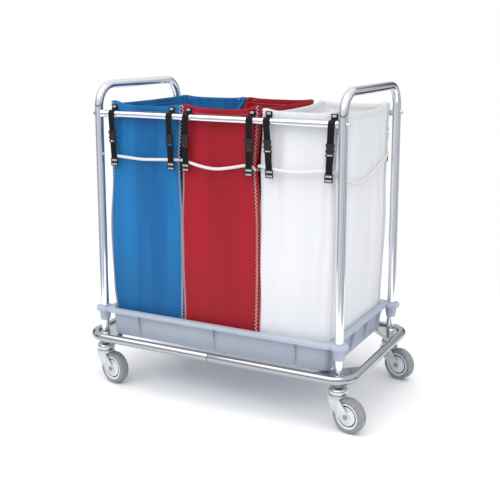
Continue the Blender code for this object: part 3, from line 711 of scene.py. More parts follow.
def make_tray():
    """The moulded tray. Its skin is one run of rounded rectangles: up the inside, over the
    rim, down the lip, under it and down the outside. Ears and collars are turned round the
    posts, and webs stand under the rim."""
    floor, top = PLATE_TOP, 0.247
    # half width, half depth, corner, height
    rows = np.array((
        (0.020, 0.020, 0.004, floor + 0.003), (0.350, 0.208, 0.006, floor + 0.003),
        (0.3595, 0.2175, 0.014, floor + 0.0038), (0.3640, 0.2220, 0.0180, floor + 0.0075),
        (0.3652, 0.2232, 0.0190, floor + 0.013), (0.3682, 0.2262, 0.0195, top - 0.0045),
        (0.3688, 0.2268, 0.0198, top - 0.0016), (0.3700, 0.2280, 0.0205, top - 0.0004),
        (0.3715, 0.2295, 0.0215, top), (0.3870, 0.2460, 0.0245, top),
        (0.3888, 0.2478, 0.0255, top - 0.0004), (0.3898, 0.2488, 0.0260, top - 0.0016),
        (0.3900, 0.2490, 0.0262, top - 0.0035), (0.3902, 0.2492, 0.0262, top - 0.0105),
        (0.3897, 0.2487, 0.0258, top - 0.0119), (0.3882, 0.2472, 0.0250, top - 0.0121),
        (0.3872, 0.2462, 0.0240, top - 0.0108), (0.3870, 0.2460, 0.0240, top - 0.0032),
        (0.3722, 0.2302, 0.0222, top - 0.0030), (0.3717, 0.2297, 0.0220, top - 0.0060),
        (0.3682, 0.2262, 0.0220, floor + 0.0105), (0.3672, 0.2252, 0.0218, floor + 0.0062),
        (0.3640, 0.2220, 0.0200, floor + 0.0022), (0.3590, 0.2170, 0.0160, floor + 0.0003),
        (0.3540, 0.2120, 0.0120, floor), (0.020, 0.020, 0.004, floor),
    ))
    flat = rim(rows[:, 0], rows[:, 1], rows[:, 2], 16, 10, 10)
    height = np.broadcast_to(rows[:, 3, None, None], flat[..., :1].shape)
    skin = Skin().add(np.concatenate((flat + (CENTRE_X, 0.0), height), -1))
    hole = POST_R - 0.0003
    ear = (
        (hole, top + 0.0004), (0.0205, top + 0.0004), (0.0215, top + 0.0007), (0.0250, top + 0.0007),
        (0.0262, top + 0.0001), (0.0269, top - 0.0014), (0.0271, top - 0.0035), (0.0271, top - 0.0105),
        (0.0266, top - 0.0120), (0.0252, top - 0.0121), (0.0243, top - 0.0108), (0.0240, top - 0.0032),
        (0.0205, top - 0.0034), (0.0198, top - 0.0050), (0.0153, 0.2050), (0.0149, 0.2034),
        (0.0140, 0.2028), (hole, 0.2030),
    )
    for sx, sy in CORNERS.values():
        skin.add(turned(ear, 40, (CENTRE_X + sx * POST_X, sy * POST_Y, 0.0)), filled=False, loop=True)
    lip = 0.0175
    wedge = np.array((
        (-0.0015, top - 0.002), (lip, top - 0.002), (lip, top - 0.0095), (0.0148, top - 0.0155),
        (0.0080, top - 0.0400), (-0.0012, floor + 0.012), (-0.0062, floor + 0.012),
        (-0.0050, top - 0.040),
    ))
    # places along a side, the distance of its wall from the middle, and the ways it faces
    for places, wall, turns in (
        ((-0.267, 0.0, 0.267), 0.230, (-0.25, 0.25)),
        ((-0.171, -0.057, 0.057, 0.171), 0.372, (0.0, 0.5)),
    ):
        for turn in turns:
            out = np.round((math.cos(turn * TAU), math.sin(turn * TAU), 0.0))
            across = np.abs(out[[1, 0, 2]])
            for place in places:
                base = across * place + out * wall + np.array((CENTRE_X, 0.0, 0.0))
                rings = [base + wedge[:, :1] * out + wedge[:, 1:] * (0, 0, 1) + across * shift
                         for shift in (-0.0018, 0.0018)]
                skin.add(np.stack(rings))
    skin.make("tray_moulding", ["tray"], "tray_plastic", replaces=["tray"])


# ---------------------------------------------------------------- bags

# Soft upright folds in each bag: distance round the bag from its front left corner, lean for each
# metre up, half width, depth, and the middle and half of its height
FOLDS = {
    "blue": ((0.158, -0.02, 0.028, 0.0110, 0.58, 0.28), (0.112, -0.01, 0.022, -0.0040, 0.60, 0.30),
             (0.060, 0.03, 0.016, 0.0050, 0.40, 0.22), (0.195, 0.00, 0.012, -0.0030, 0.66, 0.20),
             (0.030, 0.04, 0.010, 0.0025, 0.76, 0.10), (0.380, 0.05, 0.030, 0.006, 0.65, 0.25),
             (0.500, -0.05, 0.030, 0.006, 0.55, 0.30), (0.760, 0.04, 0.015, 0.004, 0.6, 0.25),
             (0.840, -0.03, 0.018, 0.004, 0.55, 0.3), (1.050, 0.03, 0.03, 0.005, 0.6, 0.3),
             (1.180, -0.03, 0.03, 0.005, 0.5, 0.3)),
    "red": ((0.062, 0.02, 0.024, 0.0060, 0.62, 0.24), (0.140, -0.04, 0.020, -0.0035, 0.50, 0.30),
            (0.180, -0.02, 0.018, 0.0060, 0.52, 0.26), (0.380, 0.05, 0.030, 0.006, 0.65, 0.25),
            (0.520, -0.05, 0.030, 0.006, 0.55, 0.30), (0.740, 0.04, 0.018, 0.004, 0.6, 0.25),
            (0.830, -0.03, 0.015, 0.004, 0.55, 0.3), (1.040, 0.03, 0.03, 0.005, 0.6, 0.3),
            (1.190, -0.03, 0.03, 0.005, 0.5, 0.3)),
    "white": ((0.045, -0.03, 0.016, 0.0065, 0.66, 0.22), (0.120, 0.02, 0.022, 0.0050, 0.50, 0.25),
              (0.190, 0.03, 0.013, 0.0055, 0.60, 0.30), (0.330, 0.06, 0.022, 0.0060, 0.66, 0.26),
              (0.420, -0.05, 0.028, -0.0040, 0.60, 0.25), (0.520, 0.04, 0.020, 0.0055, 0.55, 0.28),
              (0.590, -0.06, 0.018, 0.0040, 0.70, 0.20), (0.760, 0.04, 0.015, 0.005, 0.6, 0.25),
              (0.850, -0.03, 0.018, 0.004, 0.55, 0.3), (1.060, 0.03, 0.03, 0.005, 0.6, 0.3),
              (1.180, -0.03, 0.03, 0.005, 0.5, 0.3)),
}
# How far the edges of the mouth sag: front, right side, rear, left side
SAG = {
    "blue": (0.004, 0.062, 0.005, 0.003), "red": (0.004, 0.002, 0.004, 0.058),
    "white": (0.004, 0.014, 0.006, 0.013),
}
# How far each bag's left and right sides stand from where the sections put them
SIDES = {"blue": (0.0, 0.0085), "red": (-0.0025, 0.0105), "white": (0.0060, 0.0)}
# How far the left side swells over the tray's rim
LOW_BELLY = {"blue": 0.0085, "red": 0.0, "white": 0.0}
# How far the seams stand out: front right, rear right, rear left, front left
SEAM_REACH = {
    "blue": (0.0080, 0.0080, 0.0085, 0.0085), "red": (0.0165, 0.0070, 0.0070, 0.0075),
    "white": (0.0085, 0.0085, 0.0060, 0.0025),
}
# How far the mouth stands up at its front corners: right, left
CORNER_LIFT = {"blue": (0.004, 0.009), "red": (0.012, 0.006), "white": (0.006, 0.004)}

# Columns of a bag's wall from its front left corner: steps along front, right, rear and left,
# steps round each corner, each side's first column, and the middle of the corner that ends it
STEPS_X, STEPS_Y, STEPS_ROUND = 46, 64, 8
SIDE_STEPS = np.array((STEPS_X, STEPS_Y, STEPS_X, STEPS_Y))
SIDE_STARTS = np.cumsum(SIDE_STEPS + STEPS_ROUND) - SIDE_STEPS - STEPS_ROUND
CORNER_COLUMNS = SIDE_STARTS + SIDE_STEPS + STEPS_ROUND // 2
# Rows of a bag's wall: the one that gives the girth, and the one the hem's stitches run on
GIRTH_ROW = 60
STITCH_ROW = -6
CLOTH = 0.0014


def side_shift(bag, x, z):
    """The move along X of a point at x from the bag's middle: all of it at a side, none within
    20 mm of the middle, less where the draw cord holds the bag in, and on the left the swell
    over the tray's rim."""
    left, right = SIDES[bag]
    to_right, to_left = eased(x, 0.02, 0.10), eased(-x, 0.02, 0.10)
    held = 1 - 0.4 * np.exp(-((z - CORD_LEVEL) / 0.06) ** 2)
    swell = LOW_BELLY[bag] * eased(z, 0.238, 0.31) * (1 - eased(z, 0.45, 0.78))
    return (right * to_right + left * to_left) * held - swell * to_left


def bag_wall(bag):
    """The outside of a bag as rows of points from the foot to the mouth, with the distance
    round it, its girth and each row's share of the height. Each row is a rounded rectangle
    whose half sizes follow the sections. Heights drop by the mouth's sag, less the lift of its
    front corners, and more so the higher they are. Along its outward direction, a point moves
    by the sum of the folds, each a bell across and a flatter bell up, two products of sines, a
    bulge over the tray and a belly at front and rear, within limits. Then the sides shift."""
    share = np.concatenate((
        np.linspace(0.0, 1.0, 84) ** 1.08 * 0.972, (0.978, 0.9795, 0.981, 0.987, 0.994, 1.0)
    ))
    level = BAG_FOOT + share * (BAG_TOP - BAG_FOOT)
    kernel = np.hanning(9) / np.hanning(9).sum()
    half_x, half_y = (
        smoothed(np.interp(level, BAG_SECTIONS[:, 0], BAG_SECTIONS[:, i]), kernel) for i in (1, 2)
    )
    corner = np.interp(level, (0.16, 0.20, 0.89), (0.030, 0.020, 0.012))
    flat = rim(half_x, half_y, corner, STEPS_X, STEPS_Y, STEPS_ROUND)
    girth_line = flat[GIRTH_ROW]
    around = lengths(girth_line)
    girth = around[-1] + np.linalg.norm(girth_line[0] - girth_line[-1])

    def away(place):
        """The shorter way round from a place, with its sign."""
        return (around - place + girth / 2) % girth - girth / 2

    def near(place, width):
        return np.exp(-(away(place) / width) ** 2)

    column = np.arange(flat.shape[1])
    sag = np.zeros(flat.shape[1])
    for start, count, depth in zip(SIDE_STARTS, SIDE_STEPS, SAG[bag]):
        along = np.clip((column - start) / count, 0.0, 1.0)
        on_side = (column >= start) & (column <= start + count)
        sag += depth * (1 - np.abs(along * 2 - 1) ** 4) * on_side
    right, left = CORNER_LIFT[bag]
    sag -= right * near(around[CORNER_COLUMNS[0]], 0.030) + left * near(0.0, 0.030)
    z = level[:, None] - sag[None] * eased(share, 0.35, 1.0)[:, None] ** 1.6

    normal = unit(np.roll(flat, -1, 1) - np.roll(flat, 1, 1))[..., ::-1] * (1.0, -1.0)
    push = np.zeros(z.shape)
    for place, lean, width, depth, mid, tall in FOLDS[bag]:
        off = away(place + lean * (z - mid))
        push -= depth * np.exp(-(off / width) ** 2) * np.exp(-((z - mid) / tall) ** 4)
    ripple = np.sin(around * 41.0 + 1.3) * np.sin(z * 13.0 + 0.7)
    ripple += np.sin(around * 67.0 - z * 9.0) * np.sin(z * 21.0 + 2.0) * 0.6
    push += 0.0007 * ripple * eased(share, 0.02, 0.3)[:, None]
    push -= 0.19 * np.maximum(sag, 0.0)[None] * eased(share, 0.80, 1.0)[:, None]
    facing = np.abs(normal[..., 1])
    bulge = 0.0022 * np.exp(-((z - 0.235) / 0.05) ** 2)
    belly = 0.0060 * eased(z, 0.25, 0.42) * (1 - eased(z, 0.74, 0.83)) * facing
    limit = 0.0028 + 0.0090 * eased(z, 0.27, 0.36) * (1 - eased(z, 0.76, 0.83)) * facing
    push = np.minimum(np.maximum(push + bulge + belly, -0.02), limit)

    flat = flat + normal * push[..., None]
    grid = np.concatenate((flat, z[..., None]), -1)
    grid[..., 0] += bag_middle(bag, z) + side_shift(bag, flat[..., 0], z)
    if bag == "red":
        # its rear right mouth corner is drawn in
        drawn = near(around[CORNER_COLUMNS[1]], 0.07) * eased(share, 0.78, 1.0)[:, None]
        grid[..., 0] -= 0.013 * drawn
    return grid, around, girth, share


def cloth_normals(grid):
    """The outward direction at each point of a wall: its step round crossed with its step up."""
    round_it = np.roll(grid, -1, 1) - np.roll(grid, 1, 1)
    up = np.gradient(grid, axis=0)
    return unit(np.cross(round_it, up))


def make_bag(bag):
    """A sewn bag: one wall from the foot to the mouth, a folded hem round the mouth, and a flat
    base. The skin runs up the outside, over the mouth and down the inside, a cloth's
    thickness in, and both runs close at the middle of the base."""
    grid, around, girth, share = bag_wall(bag)
    out = cloth_normals(grid)
    hem = eased(share, 0.9785, 0.9798)
    swell = np.sin(math.pi * np.clip((share - 0.98) / 0.02, 0.0, 1.0))
    puff = (0.0006 * hem + 0.0009 * hem * swell)[:, None, None]
    outside = grid + out * puff
    inside = grid - out * (CLOTH + puff)
    lift = np.array((0.0, 0.0, 0.0008))
    rolled = [grid[-1] + out[-1] * 0.0005 + lift, grid[-1] - out[-1] * 0.0018 + lift]
    reaches = (0.02, 0.5, 0.9, 0.97)

    def base(row, rise):
        """Level rings of the base, scaled from the wall's lowest row about its middle."""
        centre = row[:, :2].mean(0)
        level = np.full(len(row), row[:, 2].min() + rise)
        return [np.column_stack((centre + (row[:, :2] - centre) * reach, level)) for reach in reaches]

    rows = np.stack([
        *base(outside[0], -0.0004), *outside, *rolled, *inside[::-1], *base(inside[0], 0.0012)[::-1]
    ])
    height = grid[..., 2].mean(1) - BAG_FOOT
    edge, level = np.full(2, BAG_TOP + 0.0001 - BAG_FOOT), np.zeros(len(reaches))
    height = np.concatenate((level, height, edge, height[::-1], level))
    marks = np.stack(np.meshgrid(height, np.append(around, girth), indexing="ij")[::-1], -1)
    item = Skin().add(rows, marks=marks).make(
        f"bag_{bag}_cloth", [bag], f"{bag}_cloth", replaces=[f"bag_{bag}"], sharp=60
    )
    trims = [make_seams(bag, grid), make_hem_stitch(bag, grid, out)]


def make_seams(bag, grid):
    """The four upright seams. Each is a fin of doubled cloth that stands out sideways from a
    corner, with a zigzag of white thread along both of its faces."""
    skin = Skin()
    bury = 0.0040
    teeth = np.arange(134)
    # share of the reach, and half of the cloth's thickness there
    section = (
        (0.0, 0.0), (0.0, 0.0011), (0.45, 0.0011), (0.9, 0.0009), (1.0, 0.0), (0.9, -0.0009),
        (0.45, -0.0011), (0.0, -0.0011),
    )
    for column, sx, sy, wide in zip(CORNER_COLUMNS, (1, 1, -1, -1), (-1, 1, 1, -1), SEAM_REACH[bag]):
        line = even_in_height(grid[:, column], 130)
        height = line[:, 2]
        reach = wide + 0.0010 * np.sin(height * 23.0 + column)
        reach *= 1 - 0.30 * np.exp(-((height - CORD_LEVEL) / 0.014) ** 2)
        wander = 0.0010 * np.sin(height * 31.0 + column * 0.7)
        root = line + (-0.0045 * sx, 0.0022 * sy, 0.0)
        lead = max(wide - 0.009, 0.0) * 0.6
        fin = []
        for along, thick in section:
            step = root.copy()
            step[:, 0] += sx * along * (reach + bury)
            step[:, 1] += sy * (thick + along * (wander + lead))
            fin.append(step)
        skin.add(np.stack(fin, 1))
        turns = np.interp(teeth, (0, len(teeth) - 1), (height[2], height[-1] - 0.002))
        half = min(wide * 0.46, 0.0038)
        swing = np.where(teeth % 2 == 0, -half, half) + half + bury
        share = swing / (np.interp(turns, height, reach) + bury)
        sway = share * (np.interp(turns, height, wander) + lead)
        start = np.column_stack([np.interp(turns, height, root[:, axis]) for axis in range(3)])
        for face in (-1, 1):
            stray = (sx * swing, sy * (face * 0.0014 + sway), np.zeros(len(teeth)))
            path = start + np.column_stack(stray)
            skin.add(carry(path, circle(0.0011, 5), (0, 1, 0)), look=1, marks=tube_marks(path, 5))
    return skin.make(f"bag_{bag}_seams", [bag, "thread"], f"{bag}_cloth", sharp=60)


def even_in_height(line, count):
    """A line resampled to even steps of height."""
    z = np.linspace(line[0, 2], line[-1, 2], count)
    return np.column_stack([np.interp(z, line[:, 2], line[:, axis]) for axis in range(3)])


def make_hem_stitch(bag, grid, out):
    """The line of stitches that holds the hem, outside and inside: a fine thread whose distance
    from the cloth is a sine of the distance round, so that it dips in between stitches."""
    skin = Skin()
    tint = {"blue": "blue_thread", "red": "red_thread", "white": "thread"}[bag]
    line, way = (np.concatenate((rows[STITCH_ROW], rows[STITCH_ROW, :1])) for rows in (grid, out))
    for side in (0.0004, -0.0019):
        ring = line + way * side
        run = lengths(ring)
        even = np.linspace(0.0, run[-1], 1200, endpoint=False)
        path, push = (
            np.column_stack([np.interp(even, run, rows[:, axis]) for axis in range(3)])
            for rows in (ring, way)
        )
        dip = 0.0006 * np.sin(even * TAU / 0.0066) * math.copysign(1.0, side)
        path += unit(push) * dip[:, None]
        skin.add(carry(path, circle(0.0006, 5), (0, 0, 1), closed=True), loop=True,
                 marks=tube_marks(path, 5, closed=True))
    return skin.make(f"bag_{bag}_hem_stitch", [tint], f"{bag}_cloth", sharp=60)


# ---------------------------------------------------------------- straps

# The buckle and slider: half their thickness, and the faces seen from the front
BUCKLE_HALF = 0.0038
SOCKET_BODY = (
    (-0.0120, -0.0555), (-0.0113, -0.0600), (-0.0098, -0.0630), (-0.0104, -0.0665),
    (-0.0120, -0.0687), (0.0120, -0.0687), (0.0104, -0.0665), (0.0098, -0.0630),
    (0.0113, -0.0600), (0.0120, -0.0555),
)
CLIP_BODY = (
    (-0.0120, -0.0692), (-0.0124, -0.0715), (-0.0112, -0.0745), (-0.0094, -0.0765),
    (-0.0092, -0.0785), (-0.0120, -0.0800), (0.0120, -0.0800), (0.0092, -0.0785),
    (0.0094, -0.0765), (0.0112, -0.0745), (0.0124, -0.0715), (0.0120, -0.0692),
)
# Moulded bars of the clip half: low and high X, low and high Z, corner, front, back, edge
CLIP_BARS = (
    (-0.0120, -0.0096, -0.0862, -0.0795, 0.0008, -0.00304, 0.00304, 0.0006),
    (0.0096, 0.0120, -0.0862, -0.0795, 0.0008, -0.00304, 0.00304, 0.0006),
    (-0.0120, 0.0120, -0.0864, -0.0842, 0.0008, -0.00304, 0.00304, 0.0006),
    (-0.0078, -0.0047, -0.0720, -0.0565, 0.0008, -0.0017, 0.0017, 0.0005),
    (0.0047, 0.0078, -0.0720, -0.0565, 0.0008, -0.0017, 0.0017, 0.0005),
    (-0.0120, -0.0094, -0.1570, -0.1330, 0.001, -0.0022, 0.0014, 0.0006),
    (0.0094, 0.0120, -0.1570, -0.1330, 0.001, -0.0022, 0.0014, 0.0006),
    (-0.0118, 0.0118, -0.1366, -0.1330, 0.001, -0.0020, 0.0012, 0.0006),
    (-0.0118, 0.0118, -0.1492, -0.1424, 0.001, -0.0026, 0.0012, 0.0008),
    (-0.0118, 0.0118, -0.1570, -0.1536, 0.001, -0.0022, 0.0012, 0.0006),
)
# Nickel bars in the slider's two windows, in the same order
SLIDER_PINS = (
    (-0.0096, 0.0096, -0.1422, -0.1370, 0.001, -0.0023, -0.0005, 0.0006),
    (-0.0096, 0.0096, -0.1540, -0.1496, 0.001, -0.0023, -0.0005, 0.0006),
)
STRAP_LOOKS = ["webbing", "black", "nickel"]
WEBBING, BLACK, NICKEL = range(3)


def leaning(grid, lean):
    """A grid moved along X in proportion to its depth below the rail."""
    moved = grid.copy()
    moved[..., 0] -= lean * grid[..., 2]
    return moved


def plates(rows, plane):
    """Small moulded plates from a table of outlines' sides, thickness and edges."""
    return [
        slab(tile(*sides, corner), plane + front, plane + back, edge)
        for *sides, corner, front, back, edge in rows
    ]


def strap_parts():
    """Both halves of a strap from the rail's axis, facing the front: the upper half with its
    plate, rivet and buckle socket, and the lower half with its clip and ladder-lock slider. The
    webbing goes up from the hem, round the rail on a circle, and down; its bends are averaged."""
    plane = -WEB_PLANE
    tab_y = POST_Y - 0.2135
    arc = np.radians(np.linspace(52.0, 180.0, 22))
    over = np.concatenate((
        np.column_stack((np.full(4, tab_y), np.linspace(0.0275, 0.0150, 4))),
        np.column_stack((np.cos(arc), np.sin(arc))) * WEB_PLANE,
        np.column_stack((np.full(8, plane), np.linspace(-0.004, -0.053, 8))),
    ))
    kernel = np.array((0.25, 0.5, 0.25))
    for _ in range(2):
        over = np.column_stack([smoothed(over[:, axis], kernel) for axis in (0, 1)])
    section = band(0.020, 0.0016)

    def webbing(path):
        """A band along a path, with the distance across it and along it as its marks."""
        marks = np.zeros((len(path) + 1, len(section) + 1, 2))
        marks[:-1, :, 0] = np.append(section[:, 1], section[0, 1])
        marks[..., 1] = np.append(lengths(path), lengths(path)[-1])[:, None]
        return carry(path, section, (1, 0, 0)), WEBBING, marks

    # the tab is doubled over, with a nickel plate pressed on it and its rivet inside the hem
    fold = np.column_stack((np.zeros(5), np.full(5, tab_y - 0.0014), np.linspace(0.0270, 0.0135, 5)))
    pressed = (-0.0062, 0.0062, 0.0180, 0.0252, 0.0020, -0.0036, -0.0021, 0.0005)
    rivet = (
        (0.0, 0.0018), (0.0022, 0.0016), (0.0040, 0.0009), (0.0046, 0.0), (0.0044, -0.0005),
        (0.0, -0.0005),
    )
    upper = [
        webbing(np.column_stack((np.zeros(len(over)), over))),
        webbing(fold),
        (plates([pressed], tab_y)[0], NICKEL, None),
        (turned(rivet, 20, (0.0, tab_y + 0.0042, 0.0215), (0, 1, 0)), NICKEL, None),
    ]
    # the buckle's socket: a crossbar above, side openings, and a raised back
    bar, back = tile(-0.0120, 0.0120, -0.0560, -0.0500), tile(-0.0070, 0.0070, -0.0660, -0.0590, 0.002)
    deep = BUCKLE_HALF
    socket = (
        slab(bar, plane - deep, plane + deep * 0.6, 0.0008),
        slab(SOCKET_BODY, plane - deep * 0.9, plane + deep * 0.9, 0.0009),
        slab(back, plane - deep * 1.02, plane - deep * 0.7, 0.0003),
    )
    upper += [(part, BLACK, None) for part in socket]

    tail = np.column_stack((np.zeros(9), np.full(9, plane), np.linspace(-0.0845, -0.1490, 9)))
    tail[:, 1] += (0.0004, 0.0, -0.0003, -0.0003, 0.0, 0.0003, 0.0006, 0.0008, 0.0008)
    clip = [slab(CLIP_BODY, plane - deep, plane + deep, 0.0008), *plates(CLIP_BARS, plane)]
    lower = [webbing(tail), webbing(tail[:3] + (0.0, 0.0019, 0.0))]
    lower += [(part, BLACK, None) for part in clip]
    lower += [(part, NICKEL, None) for part in plates(SLIDER_PINS, plane)]
    return upper, lower


def make_straps():
    """Four straps to a bag. The rear ones are the front ones turned half round."""
    upper, lower = strap_parts()
    for bag, (top, _) in BAGS.items():
        for row, places, sy in (("front", FRONT_STRAPS[bag], -1), ("rear", REAR_STRAPS, 1)):
            for side, (offset, lean) in zip(("left", "right"), places):
                key = f"{row}_{bag}_{side}"
                place = (CENTRE_X + top + offset, sy * POST_Y, RAIL_Z)
                for kind, parts, body in (("strap", upper, "root"), ("clip", lower, f"clip_{key}")):
                    skin = Skin()
                    for grid, look, marks in parts:
                        hung = leaning(grid, lean) * (-sy, -sy, 1.0) + place
                        skin.add(hung, look=look, marks=marks)
                    skin.make(f"{kind}_{key}_fine", STRAP_LOOKS, "black_webbing", body=body,
                              replaces=[f"{kind}_{key}"])


# ---------------------------------------------------------------- casters

# Profiles of radius and height about the post: the cup that is welded under the corner plate,
# and the fork's crown
CUP = (
    (0.0, 0.1526), (0.0130, 0.1526), (0.0132, 0.1500), (0.0112, 0.1494), (0.0112, 0.1262),
    (0.0120, 0.1240), (0.0146, 0.1222), (0.0185, 0.1224), (0.0214, 0.1234), (0.0230, 0.1233),
    (0.0250, 0.1216), (0.0268, 0.1186), (0.0278, 0.1148), (0.0279, 0.1115), (0.0271, 0.1082),
    (0.0262, 0.1066), (0.0246, 0.1052), (0.0240, 0.1044), (0.0, 0.1044),
)
CROWN = (
    (0.0, 0.1040), (0.0225, 0.1040), (0.0245, 0.1032), (0.0254, 0.1012), (0.0256, 0.0975),
    (0.0236, 0.0970), (0.0224, 0.0996), (0.0205, 0.1008), (0.0, 0.1010),
)
# A fork leg from the side: distance ahead of the post, and height
FORK_LEG = (
    (-0.0225, 0.1030), (-0.0232, 0.0960), (-0.0228, 0.0890), (-0.0195, 0.0800), (-0.0125, 0.0700),
    (-0.0010, 0.0570), (0.0110, 0.0460), (0.0215, 0.0385), (0.0290, 0.0365), (0.0400, 0.0362),
    (0.0480, 0.0392), (0.0520, 0.0445), (0.0518, 0.0520), (0.0480, 0.0585), (0.0360, 0.0735),
    (0.0240, 0.0880), (0.0165, 0.0960), (0.0140, 0.1000), (0.0136, 0.1030),
)
# The bent wall that joins the legs under the crown: height and radius round its section
FORK_BEND = (
    (0.1015, 0.0250), (0.0970, 0.0252), (0.0915, 0.0240), (0.0905, 0.0224), (0.0915, 0.0212),
    (0.1015, 0.0215),
)
# Profiles of radius and width about the axle: rod, washer, bolt head, spoke, tyre, and half of
# the wheel from its bore outwards with a look for each step
AXLE_ROD = ((0.0, 0.0205), (0.0040, 0.0205), (0.0040, -0.0205), (0.0, -0.0205))
AXLE_WASHER = ((0.0, 0.0205), (0.0080, 0.0205), (0.0082, 0.0215), (0.0076, 0.0219), (0.0, 0.0219))
AXLE_HEAD = ((0.0, 0.0215), (0.0064, 0.0215), (0.0064, 0.0236), (0.0056, 0.0243), (0.0, 0.0245))
HUB_STUD = ((0.0, 0.0), (0.0016, 0.0), (0.0014, 0.0012), (0.0, 0.0014))
HALF_TYRE = (
    (0.0366, 0.0143), (0.0380, 0.0150), (0.0405, 0.0156), (0.0432, 0.0157), (0.0458, 0.0150),
    (0.0478, 0.0134), (0.0489, 0.0108), (0.0495, 0.0072), (0.04976, 0.0030),
)
WHEEL_LOOKS = ["hub", "groove", "ring"]
HALF_WHEEL = (
    (0.0043, 0.0168, "hub"), (0.0118, 0.0168, "hub"), (0.0124, 0.0162, "hub"),
    (0.0132, 0.0128, "hub"), (0.0145, 0.0122, "hub"), (0.0225, 0.0116, "hub"),
    (0.0272, 0.0124, "hub"), (0.0280, 0.0120, "groove"), (0.0284, 0.0090, "groove"),
    (0.0306, 0.0088, "groove"), (0.0311, 0.0125, "ring"), (0.0318, 0.0141, "ring"),
    (0.0335, 0.0150, "ring"), (0.0355, 0.0149, "ring"), (0.0368, 0.0144, "ring"),
)
UP = np.array((0.0, 0.0, 1.0))
# The axle's distance behind the post, and the places of the wheel's studs about the axle
TRAIL = 0.039
STUD_OUT, STUD_RING = 0.0112, 0.0205


def make_fork(name, post, ahead, across):
    """A pressed fork: a turned crown, two flat legs, and the bend that joins them behind, which
    is an arc about the post."""
    fork = Skin().add(turned(CROWN, 48, post), filled=False)
    for low, high in ((-0.0209, -0.0178), (0.0178, 0.0209)):
        leg = slab(FORK_LEG, low, high, 0.0011)
        fork.add(post + leg[..., :1] * ahead + leg[..., 1:2] * across + leg[..., 2:] * UP)
    sweep = np.radians(np.linspace(112.0, 248.0, 22))
    wall = []
    for z, out in FORK_BEND:
        ring = np.stack((np.cos(sweep) * out, np.sin(sweep) * out * 0.90), -1)
        wall.append(post + ring[:, :1] * ahead + ring[:, 1:] * across + z * UP)
    fork.add(np.stack(wall, 1))
    fork.make(f"{name}_fork", ["zinc"], "zinc_plate", body=f"{name}_swivel", replaces=[f"{name}_yoke"])


def make_axle(name, axle, across):
    """The bolt that carries the wheel, with a washer and a hexagon at each end."""
    bolt = Skin().add(turned(AXLE_ROD, 20, axle, across), filled=False)
    for side in (-1, 1):
        for profile, sides in ((AXLE_WASHER, 28), (AXLE_HEAD, 6)):
            bolt.add(turned(profile, sides, axle, across * side), filled=False)
    bolt.make(f"{name}_bolt", ["steel"], "steel", body=f"{name}_swivel", replaces=[f"{name}_axle"],
              sharp=30)


def make_wheel(name, axle, ahead, across):
    """A moulded wheel centre with six studs to a side, and its solid tyre. Each is half a
    section, mirrored and turned about the axle."""
    def mirrored(half):
        return np.concatenate((half, half[::-1] * (1.0, -1.0)))

    half = np.array([(radius, width) for radius, width, _ in HALF_WHEEL])
    looks = [WHEEL_LOOKS.index(look) for *_, look in HALF_WHEEL]
    looks = np.array(looks + [looks[-1]] + looks[::-1][1:])[:, None]
    hub = Skin().add(turned(mirrored(half), 72, axle, across), look=looks, filled=False, loop=True)
    for turn in np.arange(6) * TAU / 6:
        for side in (-1, 1):
            spoke = STUD_RING * (math.cos(turn) * ahead + math.sin(turn) * UP)
            place = axle + across * side * STUD_OUT + spoke
            hub.add(turned(HUB_STUD, 10, place, across * side), filled=False)
    hub.make(f"{name}_centre", WHEEL_LOOKS, "hub_plastic", body=f"{name}_wheel",
             replaces=[f"{name}_hub"])
    tyre = turned(mirrored(np.array(HALF_TYRE)), 96, axle, across)
    Skin().add(tyre, filled=False, loop=True).make(
        f"{name}_tread", ["rubber"], "tyre_rubber", body=f"{name}_wheel", replaces=[f"{name}_tyre"]
    )


def make_caster(corner):
    """A swivel caster: a fixed cup with a steel neck, a fork, an axle and a wheel. The wheel
    trails from the post at its own angle."""
    sx, sy = CORNERS[corner]
    name = f"caster_{corner}"
    post = np.array((CENTRE_X + sx * POST_X, sy * POST_Y, 0.0))
    angle = math.radians(WHEEL_TURN[corner])
    ahead = np.array((math.cos(angle), math.sin(angle), 0.0))
    across = np.array((-math.sin(angle), math.cos(angle), 0.0))
    axle = post + ahead * TRAIL + middle(f"{name}_axle", 2) * UP
    look = np.zeros((len(CUP), 1), int)
    look[1:6] = 1
    Skin().add(turned(CUP, 56, post), look=look, filled=False).make(
        f"{name}_cup", ["cup", "steel"], "chrome_cup", replaces=[f"{name}_head"]
    )
    make_fork(name, post, ahead, across)
    make_axle(name, axle, across)
    make_wheel(name, axle, ahead, across)


# ---------------------------------------------------------------- studio

def make_floor():
    """A wide pale floor."""
    half = 1.3
    corners = [(-half, -half, 0), (half, -half, 0), (half, half, 0), (-half, half, 0)]
    mesh = bpy.data.meshes.new("studio_floor")
    mesh.from_pydata(corners, [], [(0, 1, 2, 3)])
    made = Finish("studio_floor", (0.93, 0.93, 0.93), 0.6)
    cloud = made.mottle((0.7, 0.7, 1.0))
    made.feed("Base Color", made.blend(cloud, (0.92, 0.92, 0.92), (0.94, 0.94, 0.94)))
    mesh.materials.append(made.material)
    floor = bpy.data.objects.new("studio_floor", mesh)
    bpy.context.scene.collection.objects.link(floor)


# Tall dark screens round the room: bearing and half width in radians
SCREENS = ((-2.75, 0.12), (-0.30, 0.07), (0.45, 0.10), (1.50, 0.24), (2.62, 0.20))


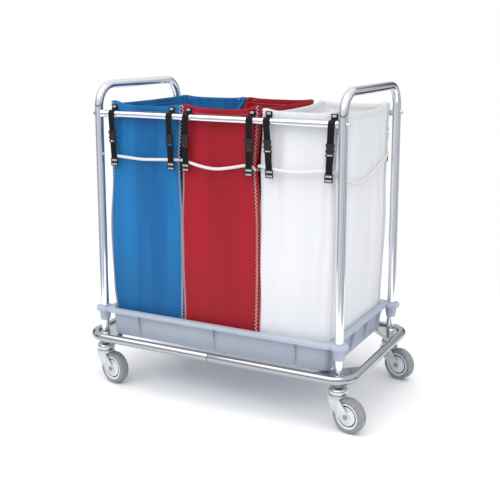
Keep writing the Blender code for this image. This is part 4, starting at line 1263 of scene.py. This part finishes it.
def light_studio():
    """Soft white air for the eye. What the metal sees is a pale sky that greys towards the
    horizon, with dark screens round the room, one bright strip, and a dark skirt just over the
    floor, as a studio has."""
    world = bpy.data.worlds.new("studio_air")
    world.use_nodes = True
    air = Graph(world.node_tree)
    x, y, z = air.parts(air.place("Generated"))
    tone = air.blend(z.ramp(-0.02, 0.75), (0.60, 0.62, 0.68), (1.0, 1.0, 1.0))
    way = y.maths("ARCTAN2", y, x)
    screens = 0.0
    for angle, half in SCREENS:
        screens += 1.0 - (way - angle).size().ramp(half * 0.8, half)
    skirt = 1.0 - (z - 0.035).size().ramp(0.020, 0.050)
    dark = (screens * (1.0 - z.ramp(0.22, 0.50)) * 0.95 + skirt * 0.85).limited()
    strip = 1.0 - (way + 1.72).size().ramp(0.08, 0.12)
    tone = air.blend(strip * 0.9, tone, (1.0, 1.0, 1.0))
    seen = air.node("ShaderNodeLightPath", out="Is Camera Ray")
    tone = air.blend(dark, tone, (0.035, 0.036, 0.040))
    tone = air.blend(seen, tone, (1.0, 1.0, 1.0))
    air.tree.links.new(tone.socket, air.tree.nodes["Background"].inputs["Color"])
    bpy.context.scene.world = world
    bpy.context.scene.view_settings.view_transform = "Standard"
    sky = bpy.data.lights.new("sky_light", "SUN")
    sky.energy, sky.angle = 1.45, 1.2
    item = bpy.data.objects.new("sky_light", sky)
    item.rotation_euler = (math.radians(25), math.radians(-6), 0.0)
    bpy.context.scene.collection.objects.link(item)
    softbox("key_light", (-1.6, -3.2, 2.6), (0, 0, 0.6), (1.2, 1.6), 7)
    softbox("side_light", (3.6, -1.2, 1.6), (0, 0, 0.5), (0.9, 2.2), 22)


def main():
    """The studio and every piece of the trolley."""
    place_camera()
    for bag in BAGS:
        make_cord(bag)
    make_floor()
    light_studio()
    make_base_tube()
    make_end_tube("left", -1)
    make_end_tube("right", 1)
    make_rail_tube("front", -1)
    make_rail_tube("rear", 1)
    make_rail_nuts()
    for corner in CORNERS:
        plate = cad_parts[f"corner_plate_{corner}"]
        plate.material_slots[0].material = FINISH["plate"]
        make_caster(corner)
    make_tray()
    for bag in BAGS:
        make_bag(bag)
    make_straps()


main()
